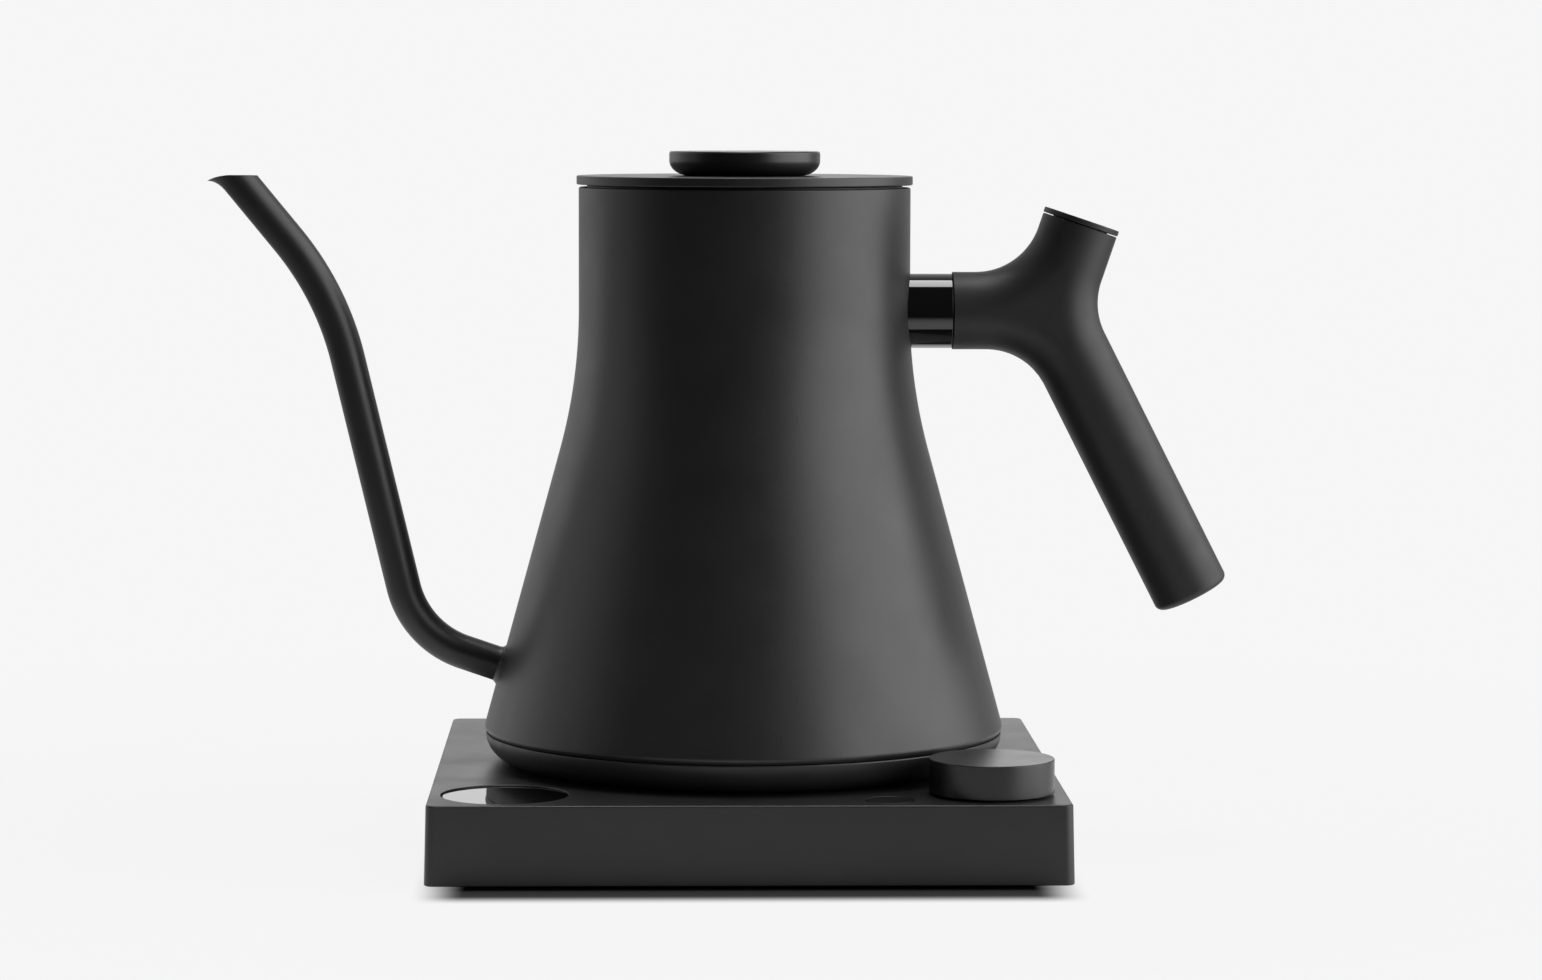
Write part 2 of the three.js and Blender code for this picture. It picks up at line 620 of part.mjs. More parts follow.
function makeSkirt() {
  const opening = COUPLER_RADIUS + GAP;
  const tuck = skirtTop - REST_GAP;
  const spigotOuter = flankRadius(skirtTop + SKIRT_SPIGOT, BODY_WALL) - GAP;
  const spigotInner = spigotOuter - SKIRT_WALL;
  const quarter = (wall) => Array.from({ length: 5 }, (_, i) => {
    const angle = (-90 + 22.5 * i) * DEGREE;
    const across = (SKIRT_ROUND - wall) * Math.cos(angle);
    return [skirtBottomRadius + across, skirtTop + (tuck - wall) * Math.sin(angle)];
  });
  const shell = lathe([
    [opening, REST_GAP], ...quarter(0), [spigotOuter, skirtTop], [spigotOuter, skirtTop + SKIRT_SPIGOT],
    [spigotInner, skirtTop + SKIRT_SPIGOT], [spigotInner, skirtTop - SKIRT_STEP],
    [skirtBottomRadius, REST_GAP + SKIRT_WALL], [opening, REST_GAP + SKIRT_WALL],
  ], LARGE);
  const at = (geometry, { x, y }) => geometry.translate(x, y, 0);
  const bosses = floorStuds().map((p) =>
    at(rod(SKIRT_BOSS_RADIUS, REST_GAP + SKIRT_WALL / 2, REST_GAP + SKIRT_BOSS_HEIGHT, SMALL), p));
  const holes = floorStuds().map((p) =>
    at(rod(BASE_SCREW_RADIUS + GAP, REST_GAP - CUT_PAST, REST_GAP + SKIRT_BOSS_HEIGHT + CUT_PAST, TINY), p));
  const recesses = floorStuds().map((p) =>
    at(rod(BASE_SCREW_HEAD + GAP, REST_GAP - CUT_PAST, skirtScrewSeat(), SMALL), p));
  return piece('kettle_skirt', cut(join(shell, ...bosses), ...holes, ...recesses), DARK_PLASTIC);
}

function skirtScrewSeat() {
  return REST_GAP + SKIRT_BOSS_HEIGHT / 2;
}

function makeSkirtScrews() {
  const length = FLOOR_HEIGHT - skirtScrewSeat() - SKIRT_SCREW_SHORT;
  return floorStuds().map(({ x, y }, i) => {
    const shape = screw(BASE_SCREW_RADIUS, BASE_SCREW_HEAD, SCREW_HEAD_THICKNESS, length);
    return piece(`skirt_screw_${i + 1}`, shape.translate(x, y, skirtScrewSeat() - GAP), STEEL);
  });
}

// ---------------------------------------------------------------- swivel connector

const dockEarthRadius = DOCK_RADIUS + GAP + DOCK_EARTH_WALL;
const couplerEarthInner = dockEarthRadius + EARTH_CLEARANCE;
const couplerEarthOuter = couplerEarthInner + COUPLER_EARTH_WALL;
const couplerRoof = DOCK_HEIGHT + COUPLER_HEADROOM;

function makeCoupler() {
  const bottom = REST_GAP + 2 * GAP;
  const recess = couplerEarthOuter + GAP;
  const top = bottom + COUPLER_HEIGHT;
  const profile = [
    [recess + COUPLER_LEAD_IN, bottom], [COUPLER_RADIUS, bottom], [COUPLER_RADIUS, top], [0, top],
    [0, couplerRoof],
    [recess, couplerRoof], [recess, bottom + COUPLER_LEAD_IN],
  ];
  return piece('coupler_housing', lathe(closedOnAxis(profile), MEDIUM), CREAM_PLASTIC);
}

// Starts a profile that touches the axis at its lower axis point, so the axis closes it.
function closedOnAxis(profile) {
  const first = profile.findIndex(([radius], i) => radius === 0 && profile[(i + 1) % profile.length][0] > 0);
  return [...profile.slice(first), ...profile.slice(0, first)];
}

function makeCouplerContacts() {
  const top = couplerRoof - GAP;
  const neutralInner = NEUTRAL_RADIUS - NEUTRAL_WALL / 2;
  const neutral = ring(neutralInner, neutralInner + NEUTRAL_WALL, CONTACT_ENGAGE, top);
  const earth = ring(couplerEarthInner, couplerEarthOuter, CONTACT_ENGAGE, top, MEDIUM);
  return [
    piece('coupler_live_pin', rod(LIVE_RADIUS, CONTACT_ENGAGE, top, SMALL), BRASS),
    piece('coupler_neutral_ring', neutral, BRASS),
    piece('coupler_earth_ring', earth, STEEL),
  ];
}

function makeDock() {
  const bottom = BASE_HEIGHT - DOCK_DEPTH;
  const top = BASE_HEIGHT + DOCK_HEIGHT;
  const flangeTop = roofUnderside - GAP;
  const rimRadius = dockHoleRadius - GAP;
  const flange = rimRadius + DOCK_FLANGE;
  const flangeBottom = flangeTop - DOCK_FLANGE_THICKNESS;
  const floor = bottom + DOCK_FLOOR;
  const grooveInner = NEUTRAL_RADIUS - NEUTRAL_WALL / 2 - 2 * GAP;
  const grooveOuter = NEUTRAL_RADIUS + NEUTRAL_WALL / 2 + 2 * GAP;
  const pinHole = LIVE_RADIUS + 2 * GAP;
  const profile = [
    [0, bottom], [rimRadius, bottom], [rimRadius, flangeBottom], [flange, flangeBottom],
    [flange, flangeTop], [rimRadius, flangeTop], [rimRadius, BASE_HEIGHT], [DOCK_RADIUS, BASE_HEIGHT],
    [DOCK_RADIUS, top - DOCK_EDGE], [DOCK_RADIUS - DOCK_EDGE, top], [grooveOuter, top],
    [grooveOuter, floor], [grooveInner, floor], [grooveInner, top], [pinHole, top],
    [pinHole, floor], [0, floor],
  ];
  return piece('dock_housing', lathe(profile, MEDIUM), DARK_PLASTIC);
}

function makeDockContacts() {
  const bottom = BASE_HEIGHT - DOCK_DEPTH + DOCK_FLOOR + GAP;
  const top = BASE_HEIGHT + CONTACT_ENGAGE - GAP;
  const inner = NEUTRAL_RADIUS - NEUTRAL_WALL / 2 - GAP;
  const outer = NEUTRAL_RADIUS + NEUTRAL_WALL / 2 + GAP;
  const earthTop = BASE_HEIGHT + DOCK_HEIGHT - DOCK_EARTH_SHORT;
  const earthBand = ring(DOCK_RADIUS + GAP, dockEarthRadius, BASE_HEIGHT + GAP, earthTop, MEDIUM);
  return [
    piece('dock_live_contact', rod(LIVE_RADIUS + GAP, bottom, top, SMALL), BRASS),
    piece('dock_neutral_contact', ring(inner, outer, bottom, top), BRASS),
    piece('dock_earth_band', earthBand, STEEL),
  ];
}

// ---------------------------------------------------------------- lid

const lidBottom = RIM_HEIGHT + LID_GAP;
const lidTop = lidBottom + LID_THICKNESS;
const knobBottom = lidTop + GAP;
const knobTop = lidTop + KNOB_HEIGHT;
const plugRadius = NECK_RADIUS - BODY_WALL - PLUG_CLEARANCE;
const plugTop = lidBottom - GAP;
const plugBottom = plugTop - PLUG_DEPTH;
const sealBottom = plugBottom + SEAL_RISE;

function makeLidDisc() {
  const radius = NECK_RADIUS + LID_OVERHANG;
  const upper = arc(radius - LID_ROUND, lidTop - LID_ROUND, LID_ROUND, 0, 90 * DEGREE, 2);
  const disc = lathe([[0, lidBottom], [radius, lidBottom], ...upper, [0, lidTop]], LARGE);
  const hole = rod(LID_SCREW_RADIUS + GAP, lidBottom - CUT_PAST, lidTop + CUT_PAST, TINY);
  return piece('lid_disc', cut(disc, hole), MATTE_COAT);
}

function makeLidPlug() {
  const grooveRadius = plugRadius - SEAL_GROOVE;
  const grooveTop = sealBottom + SEAL_HEIGHT + GAP;
  const screwHole = LID_SCREW_RADIUS + GAP;
  const profile = [
    [screwHole, plugBottom], [plugRadius - PLUG_CHAMFER, plugBottom], [plugRadius, plugBottom + PLUG_CHAMFER],
    [plugRadius, sealBottom - GAP], [grooveRadius, sealBottom - GAP], [grooveRadius, grooveTop],
    [plugRadius, grooveTop], [plugRadius, plugTop],
    [grooveRadius - PLUG_WALL, plugTop], [grooveRadius - PLUG_WALL, plugBottom + PLUG_WALL],
    [PLUG_POST, plugBottom + PLUG_WALL], [PLUG_POST, plugTop], [screwHole, plugTop],
  ];
  return piece('lid_plug', lathe(profile, MEDIUM), DARK_PLASTIC);
}

function makeLidSeal() {
  const inner = plugRadius - SEAL_GROOVE + GAP;
  const outer = plugRadius + SEAL_REACH;
  const middle = sealBottom + SEAL_HEIGHT / 2;
  const top = sealBottom + SEAL_HEIGHT;
  const bevel = outer - SEAL_BEVEL;
  const profile = [[inner, sealBottom], [bevel, sealBottom], [outer, middle], [bevel, top], [inner, top]];
  return piece('lid_seal', lathe(profile, MEDIUM), SILICONE);
}

// A bowl below and a crisp edge above.
function knobProfile() {
  const footRadius = KNOB_RADIUS - KNOB_TUCK;
  const bowl = Array.from({ length: 6 }, (_, i) => {
    const angle = 18 * i * DEGREE;
    return [footRadius + KNOB_TUCK * Math.sin(angle), knobBottom + KNOB_TUCK_HEIGHT * (1 - Math.cos(angle))];
  });
  const crown = arc(KNOB_RADIUS - KNOB_ROUND, knobTop - KNOB_ROUND, KNOB_ROUND, 0, 90 * DEGREE, 3);
  return [[0, knobBottom], ...bowl, ...crown, [0, knobTop]];
}

function makeKnob() {
  const pilot = rod(LID_SCREW_RADIUS + GAP, knobBottom - CUT_PAST, knobTop - KNOB_ROOF, TINY);
  return piece('lid_knob', cut(lathe(knobProfile(), MEDIUM), pilot), SATIN_BLACK);
}

function makeLidScrew() {
  const length = knobTop - KNOB_ROOF - GAP - plugBottom;
  const shape = screw(LID_SCREW_RADIUS, 2 * LID_SCREW_RADIUS, LID_SCREW_HEAD, length);
  return piece('lid_screw', shape.translate(0, 0, plugBottom - GAP), STEEL);
}

// ---------------------------------------------------------------- handle

const handleHeight = RIM_HEIGHT - HANDLE_DROP;
const meeting = new THREE.Vector3(NECK_RADIUS + HANDLE_REACH, 0, handleHeight);
const stubEnd = NECK_RADIUS + COLLAR_LENGTH + GAP;
const branchStub = new THREE.Vector3(-1, 0, 0);
const branchTop = new THREE.Vector3(Math.sin(HANDLE_TOP_LEAN), 0, Math.cos(HANDLE_TOP_LEAN));
const branchGrip = new THREE.Vector3(Math.sin(GRIP_LEAN), 0, -Math.cos(GRIP_LEAN));
const topEnd = HANDLE_TOP_LENGTH - CAP_THICKNESS - GAP;

// The blend in the corner between two branches: its arc's centre and the directions from
// there to the edge of each branch.
function blendBetween(one, other) {
  const half = one.angleTo(other) / 2;
  const middle = one.clone().add(other).normalize();
  const centre = middle.multiplyScalar((HANDLE_RADIUS + HANDLE_BLEND) / Math.sin(half)).add(meeting);
  const toward = (branch) => {
    const foot = centre.clone().sub(meeting).projectOnVector(branch).add(meeting);
    return foot.sub(centre).normalize();
  };
  return { centre, toOne: toward(one), toOther: toward(other) };
}

const blendOuter = blendBetween(branchTop, branchGrip);
const blendUpper = blendBetween(branchTop, branchStub);
const blendLower = blendBetween(branchGrip, branchStub);

// Distance from a point in the handle's plane to the outline on one blend's side.
function depthFrom({ centre, toOne, toOther }, point, inward) {
  const offset = point.clone().sub(centre);
  const spread = toOne.angleTo(toOther);
  const inFan = offset.angleTo(toOne) <= spread && offset.angleTo(toOther) <= spread;
  const distance = inFan ? offset.length() : Math.max(offset.dot(toOne), offset.dot(toOther));
  return distance - HANDLE_BLEND - inward;
}

// One ring of the handle, on the line that leaves the outer blend in a direction.
function handleRing(direction, shift, inward) {
  const radius = HANDLE_RADIUS - inward;
  const start = blendOuter.centre.clone().addScaledVector(direction, HANDLE_BLEND + inward).add(shift);
  const at = (distance) => start.clone().addScaledVector(direction, distance);
  const leftBlends = [blendUpper, blendLower];
  const leftDepth = (point) => Math.min(...leftBlends.map((blend) => depthFrom(blend, point, inward)));
  const inside = (point) => leftDepth(point) > 0 && point.x > stubEnd + inward;
  const stride = radius / 4;
  let near = radius;
  let far = radius;
  while (inside(at(far)) && far < FAR) far += stride;
  while (far - near > WELD_DISTANCE) {
    const half = (near + far) / 2;
    if (inside(at(half))) near = half;
    else far = half;
  }
  const length = far;
  const steps = 9;
  const side = Array.from({ length: steps + 1 }, (_, i) => {
    const distance = (length / 2) * (1 - Math.cos((i / steps) * Math.PI));
    const point = at(distance);
    const depth = THREE.MathUtils.clamp(Math.min(distance, leftDepth(point)), 0, radius);
    return { point, thickness: Math.sqrt(radius ** 2 - (radius - depth) ** 2) };
  });
  const front = side.map(({ point, thickness }) => point.clone().setY(-thickness));
  const back = side.slice(1, -1).reverse().map(({ point, thickness }) => point.clone().setY(thickness));
  const blunt = side.at(-1).thickness > 10 * WELD_DISTANCE ? side.at(-1).thickness : 0;
  const last = side.at(-1).point.clone().setY(blunt);
  return [...front, last, ...back];
}

// Stations along the handle, from the top end round the outer blend to the end of the grip.
function handleStations() {
  const stations = [];
  const reach = (HANDLE_RADIUS + HANDLE_BLEND) / Math.tan(branchTop.angleTo(branchGrip) / 2);
  const topLength = topEnd - reach;
  const top = (length) => stations.push([blendOuter.toOne, branchTop.clone().multiplyScalar(length), 0]);
  [topLength, topLength / 2].forEach(top);
  const fan = blendOuter.toOne.angleTo(blendOuter.toOther);
  const axis = blendOuter.toOne.clone().cross(blendOuter.toOther).normalize();
  const fanSteps = 16;
  for (let i = 0; i <= fanSteps; i++) {
    const direction = blendOuter.toOne.clone().applyAxisAngle(axis, (fan * i) / fanSteps);
    stations.push([direction, new THREE.Vector3(), 0]);
  }
  const gripLength = GRIP_LENGTH - reach;
  const grip = (length, inward) => stations.push([
    blendOuter.toOther, branchGrip.clone().multiplyScalar(length), inward]);
  [0.25, 0.5, 0.75].forEach((t) => grip(gripLength * t, 0));
  [0, 30, 60, 90].forEach((angle) => {
    const drop = GRIP_ROUND * (1 - Math.sin(angle * DEGREE));
    grip(gripLength - drop, GRIP_ROUND * (1 - Math.cos(angle * DEGREE)));
  });
  return stations;
}

// A rod along a branch, from one distance to another past the meeting point.
function alongBranch(branch, radius, from, to, segments = SMALL) {
  const upright = new THREE.Vector3(0, 0, 1);
  const turn = new THREE.Quaternion().setFromUnitVectors(upright, branch);
  return rod(radius, from, to, segments).applyQuaternion(turn).translate(...meeting);
}

function makeHandleShell() {
  const outer = loft(handleStations().map((station) => handleRing(...station)));
  const topBore = alongBranch(branchTop, TOP_BORE, -TOP_BORE_PAST, topEnd + CUT_PAST);
  const gripBore = alongBranch(branchGrip, GRIP_BORE, GRIP_BORE_START, GRIP_LENGTH + CUT_PAST);
  const rodHole = alongBranch(branchStub, ROD_RADIUS + GAP, 0, HANDLE_REACH, TINY);
  return piece('handle_shell', cut(outer, topBore, gripBore, rodHole), SOFT_BLACK);
}

function makeHandleCap() {
  const discStart = HANDLE_TOP_LENGTH - CAP_THICKNESS;
  const disc = alongBranch(branchTop, CAP_RADIUS, discStart, HANDLE_TOP_LENGTH, MEDIUM);
  const spigotEnd = discStart + CAP_THICKNESS / 2;
  const spigot = alongBranch(branchTop, TOP_BORE - GAP, topEnd - CAP_SPIGOT, spigotEnd);
  return piece('handle_cap', join(disc, spigot), SOFT_BLACK);
}

function makeHandleWeight() {
  const start = GRIP_BORE_START + GAP;
  const weight = alongBranch(branchGrip, GRIP_BORE - GAP, start, start + WEIGHT_LENGTH);
  return piece('handle_weight', weight, STEEL);
}

function makeGripPlug() {
  const end = GRIP_LENGTH - GAP;
  return piece('grip_plug', alongBranch(branchGrip, GRIP_BORE - GAP, end - PLUG_LENGTH, end), SOFT_BLACK);
}

function makeCollar() {
  const outerEnd = NECK_RADIUS + COLLAR_LENGTH;
  const from = meeting.x - outerEnd;
  const to = meeting.x - NECK_RADIUS / 2;
  const sleeve = alongBranch(branchStub, COLLAR_RADIUS, from, to, MEDIUM);
  const insideRadius = COLLAR_RADIUS - COLLAR_WALL;
  const inside = alongBranch(branchStub, insideRadius, from + COLLAR_WALL, to + CUT_PAST, SMALL);
  const hole = alongBranch(branchStub, ROD_RADIUS + GAP, from - CUT_PAST, to, TINY);
  return piece('handle_collar', cut(sleeve, inside, hole, bodyEnvelope(GAP)), GLOSS_BLACK);
}

function nutStart() {
  const boreWall = TOP_BORE / Math.cos(HANDLE_TOP_LEAN);
  const slope = NUT_RADIUS * Math.tan(HANDLE_TOP_LEAN);
  return boreWall - slope - GAP;
}

function makeHandleRod() {
  const end = nutStart() - NUT_THICKNESS - ROD_PAST_NUT;
  const shaft = alongBranch(branchStub, ROD_RADIUS, end, HANDLE_REACH, TINY);
  const flangeStart = HANDLE_REACH - ROD_FLANGE_THICKNESS;
  const flange = alongBranch(branchStub, ROD_FLANGE, flangeStart, HANDLE_REACH + ROD_FLANGE, SMALL);
  return piece('handle_rod', cut(join(shaft, flange), bodyEnvelope(GAP)), STEEL);
}

function makeHandleNut() {
  const end = nutStart();
  const start = end - NUT_THICKNESS;
  const nut = alongBranch(branchStub, NUT_RADIUS, start, end, HEX);
  const hole = alongBranch(branchStub, ROD_RADIUS + GAP, start - CUT_PAST, end + CUT_PAST, TINY);
  return piece('handle_nut', cut(nut, hole), STEEL);
}

// ---------------------------------------------------------------- base shells

function baseHalfAt(height) {
  return baseHalf + BASE_DRAFT * (1 - height / BASE_HEIGHT);
}

function squareLoft(inset, bottom, top, edge) {
  const corner = Math.max(BASE_CORNER - inset, BASE_INNER_CORNER);
  const halfway = edge * (1 - Math.SQRT1_2);
  const ringAt = (height, tuck) => squareRing(baseHalfAt(height) - inset - tuck, corner - tuck, height);
  const rings = [ringAt(bottom, 0)];
  if (edge > 0) rings.push(ringAt(top - edge, 0), ringAt(top - halfway, halfway));
  rings.push(ringAt(top, edge));
  return loft(rings);
}

function atCorners(offset, make) {
  const places = [[-1, -1], [1, -1], [1, 1], [-1, 1]];
  return places.map(([sx, sy], i) => make(sx * offset, sy * offset, i));
}

function glandHole(radius) {
  const through = 3 * BASE_WALL;
  const hole = rod(radius, -through, through, SMALL).rotateX(90 * DEGREE);
  return hole.translate(0, baseHalf, GLAND_HEIGHT);
}

function makeHousing() {
  const outside = squareLoft(0, 0, BASE_HEIGHT, BASE_EDGE);
  const inside = squareLoft(BASE_WALL, -CUT_PAST, roofUnderside, 0);
  const postBottom = COVER_THICKNESS + GAP;
  const posts = atCorners(postOffset, (x, y) =>
    rod(CORNER_POST_RADIUS, postBottom, roofUnderside + BASE_ROOF / 2, SMALL).translate(x, y, 0));
  const bossBottom = ledgeTop - DISPLAY_BOSS;
  const boss = rod(DISPLAY_RADIUS + DISPLAY_BOSS_WALL, bossBottom, roofUnderside + BASE_ROOF / 2, MEDIUM);
  const pilotTop = postBottom + BASE_SCREW_LENGTH;
  const pilots = atCorners(postOffset, (x, y) =>
    rod(BASE_SCREW_RADIUS + GAP, postBottom - CUT_PAST, pilotTop, TINY).translate(x, y, 0));
  const throughRoof = (radius, segments, place) =>
    rod(radius, bossBottom - CUT_PAST, BASE_HEIGHT + CUT_PAST, segments).translate(place.x, place.y, 0);
  const pocket = rod(DISPLAY_RADIUS, ledgeTop, BASE_HEIGHT + CUT_PAST, MEDIUM);
  const shell = cut(outside, inside);
  const body = join(shell, ...posts, boss.translate(...displayPlace));
  return piece('base_housing', cut(
    body,
    ...pilots,
    pocket.translate(...displayPlace),
    throughRoof(DISPLAY_RADIUS - DISPLAY_LEDGE, MEDIUM, displayPlace),
    throughRoof(BUSHING_RADIUS + GAP, SMALL, dialPlace),
    throughRoof(BUTTON_RADIUS + RUN_GAP, MEDIUM, buttonPlace),
    throughRoof(dockHoleRadius, MEDIUM, new THREE.Vector3()),
    glandHole(GLAND_RADIUS + GAP),
  ), MATTE_COAT);
}

function makeCover() {
  const plate = squareLoft(BASE_WALL + GAP, 0, COVER_THICKNESS, 0);
  const pockets = atCorners(padOffset, (x, y) =>
    rod(FOOT_PAD_RADIUS + GAP, -CUT_PAST, FOOT_PAD_POCKET, SMALL).translate(x, y, 0));
  const holes = atCorners(postOffset, (x, y) =>
    rod(BASE_SCREW_RADIUS + GAP, -CUT_PAST, COVER_THICKNESS + CUT_PAST, TINY).translate(x, y, 0));
  const recesses = atCorners(postOffset, (x, y) =>
    rod(BASE_SCREW_HEAD + GAP, -CUT_PAST, SCREW_HEAD_THICKNESS, SMALL).translate(x, y, 0));
  const bosses = clampScrewPlaces().map(([x, y]) =>
    rod(CLAMP_POST_RADIUS, COVER_THICKNESS / 2, clampSeat - GAP, TINY).translate(x, y, 0));
  const pilots = clampScrewPlaces().map(([x, y]) =>
    rod(BASE_SCREW_RADIUS + GAP, COVER_THICKNESS, clampSeat + CUT_PAST, TINY).translate(x, y, 0));
  const stands = boardStands().map(([x, y]) =>
    rod(STAND_RADIUS, COVER_THICKNESS / 2, BOARD_HEIGHT - GAP, TINY).translate(x, y, 0));
  const body = join(plate, ...bosses, ...stands);
  return piece('bottom_cover', cut(body, ...pockets, ...holes, ...recesses, ...pilots), DARK_PLASTIC);
}

function makeFeet() {
  const names = ['front_left', 'front_right', 'rear_right', 'rear_left'];
  return atCorners(padOffset, (x, y, i) => {
    const pad = rod(FOOT_PAD_RADIUS, -FOOT_PAD_PROUD, FOOT_PAD_POCKET - GAP, SMALL);
    return piece(`foot_${names[i]}`, pad.translate(x, y, 0), RUBBER);
  });
}

function makeCoverScrews() {
  const headThickness = SCREW_HEAD_THICKNESS - 2 * GAP;
  return atCorners(postOffset, (x, y, i) => {
    const shape = screw(BASE_SCREW_RADIUS, BASE_SCREW_HEAD, headThickness, BASE_SCREW_LENGTH);
    return piece(`cover_screw_${i + 1}`, shape.translate(x, y, SCREW_HEAD_THICKNESS - GAP), STEEL);
  });
}

// ---------------------------------------------------------------- controls

function makeLens() {
  const lens = rod(DISPLAY_RADIUS - GAP, lensBottom, lensBottom + LENS_THICKNESS, MEDIUM);
  return piece('display_lens', lens.translate(...displayPlace), GLASS);
}

function makeGasket() {
  const outer = DISPLAY_RADIUS - DISPLAY_LEDGE - GAP;
  const top = lensBottom - GAP;
  const gasket = ring(outer - GASKET_WALL, outer, top - GASKET_THICKNESS, top, SMALL);
  return piece('display_gasket', gasket.translate(...displayPlace), RUBBER);
}

function makePanel() {
  const top = lensBottom - GAP - GASKET_THICKNESS - GAP;
  const { x, y } = displayPlace;
  const panel = block(x, y, top - PANEL_THICKNESS, PANEL_WIDTH, PANEL_WIDTH, PANEL_THICKNESS);
  return piece('display_panel', panel, GLASS);
}

function makeEncoder() {
  const { x, y } = dialPlace;
  const bottom = boardTop + GAP;
  const can = block(0, 0, bottom, ENCODER_WIDTH, ENCODER_WIDTH, ENCODER_HEIGHT);
  const bushingTop = BASE_HEIGHT + BUSHING_HEIGHT;
  const bushing = rod(BUSHING_RADIUS, bottom + ENCODER_HEIGHT / 2, bushingTop, SMALL);
  const floor = bottom + ENCODER_FLOOR;
  const chamber = rod(BUSHING_RADIUS + RUN_GAP, floor, floor + ENCODER_CHAMBER, SMALL);
  const bore = rod(SHAFT_RADIUS + RUN_GAP, floor + ENCODER_CHAMBER / 2, bushingTop + CUT_PAST, SMALL);
  return piece('encoder_body', cut(join(can, bushing), chamber, bore).translate(x, y, 0), NICKEL);
}

function makeEncoderShaft() {
  const { x, y } = dialPlace;
  const bottom = boardTop + GAP + ENCODER_FLOOR + RUN_GAP;
  const top = BASE_HEIGHT + SHAFT_HEIGHT;
  const disc = rod(BUSHING_RADIUS, bottom, bottom + ENCODER_DISC, SMALL);
  const shaft = rod(SHAFT_RADIUS, bottom + ENCODER_DISC / 2, top, SMALL);
  const flatStart = BASE_HEIGHT + BUSHING_HEIGHT;
  const width = 2 * SHAFT_RADIUS;
  const flat = block(0, SHAFT_FLAT - width, flatStart, 2 * width, width, SHAFT_HEIGHT);
  return piece('encoder_shaft', cut(join(disc, shaft), flat).translate(x, y, 0), STEEL);
}

function makeEncoderNut() {
  const { x, y } = dialPlace;
  const bottom = BASE_HEIGHT + GAP;
  const nut = ring(BUSHING_RADIUS + GAP, BUSHING_NUT_RADIUS, bottom, bottom + BUSHING_NUT_THICKNESS, HEX);
  const round = rod(BUSHING_RADIUS + GAP, bottom - CUT_PAST, bottom + 2 * BUSHING_NUT_THICKNESS, SMALL);
  return piece('encoder_nut', cut(nut, round).translate(x, y, 0), NICKEL);
}

function makeDial() {
  const { x, y } = dialPlace;
  const bottom = BASE_HEIGHT + DIAL_LIFT;
  const top = bottom + DIAL_HEIGHT;
  const roof = top - DIAL_WALL;
  const profile = [
    [DIAL_RADIUS - DIAL_WALL, bottom], [DIAL_RADIUS, bottom], [DIAL_RADIUS, top - DIAL_EDGE],
    [DIAL_RADIUS - DIAL_EDGE, top], [0, top], [0, roof], [DIAL_RADIUS - DIAL_WALL, roof],
  ];
  return piece('dial_knob', lathe(closedOnAxis(profile), MEDIUM).translate(x, y, 0), SATIN_BLACK);
}

function makeDialHub() {
  const { x, y } = dialPlace;
  const bottom = BASE_HEIGHT + BUSHING_HEIGHT + DIAL_TRAVEL + GAP;
  const top = BASE_HEIGHT + DIAL_LIFT + DIAL_HEIGHT - DIAL_WALL - GAP;
  const socketTop = BASE_HEIGHT + SHAFT_HEIGHT + DIAL_TRAVEL + GAP;
  const socket = rod(SHAFT_RADIUS + GAP, bottom - CUT_PAST, socketTop, SMALL);
  const width = 2 * SHAFT_RADIUS;
  const key = block(0, SHAFT_FLAT - GAP - width, bottom - 2 * CUT_PAST, 2 * width, width, 2 * SHAFT_HEIGHT);
  const hub = cut(rod(HUB_RADIUS, bottom, top, SMALL), cut(socket, key));
  return piece('dial_hub', hub.translate(x, y, 0), DARK_PLASTIC);
}

function makeButton() {
  const { x, y } = buttonPlace;
  const flangeTop = roofUnderside - GAP;
  const flangeBottom = flangeTop - BUTTON_FLANGE_THICKNESS;
  const stemBottom = switchTop() + GAP + BUTTON_TRAVEL;
  const faceEdge = BASE_HEIGHT - BUTTON_EDGE;
  const profile = [
    [0, stemBottom], [BUTTON_STEM, stemBottom], [BUTTON_STEM, flangeBottom], [BUTTON_FLANGE, flangeBottom],
    [BUTTON_FLANGE, flangeTop], [BUTTON_RADIUS, flangeTop], [BUTTON_RADIUS, faceEdge],
    [BUTTON_RADIUS - BUTTON_EDGE, BASE_HEIGHT], [0, faceEdge],
  ];
  return piece('hold_button', lathe(profile, MEDIUM).translate(x, y, 0), SATIN_BLACK);
}

function switchTop() {
  return boardTop + GAP + SWITCH_HEIGHT;
}

function makeSwitch() {
  const { x, y } = buttonPlace;
  const bottom = boardTop + GAP;
  const can = block(x, y, bottom, SWITCH_WIDTH, SWITCH_WIDTH, SWITCH_CAN);
  const plunger = rod(PLUNGER_RADIUS, bottom + SWITCH_CAN / 2, switchTop(), TINY).translate(x, y, 0);
  return piece('hold_switch', join(can, plunger), NICKEL);
}

// ---------------------------------------------------------------- boards and cord entry

const wallInside = baseHalf - BASE_WALL;
const controlBoardWidth = 2 * (postOffset - CORNER_POST_RADIUS - BOARD_MARGIN);
const controlBoardY = -(wallInside - BOARD_MARGIN - CONTROL_BOARD_DEPTH / 2);
const clampY = wallInside - CLAMP_FROM_WALL;
const clampSeat = GLAND_HEIGHT;
const powerBoardY = clampY - CLAMP_DEPTH / 2 - BOARD_MARGIN - POWER_BOARD_DEPTH / 2;
const powerBoardX = -POWER_BOARD_SHIFT;

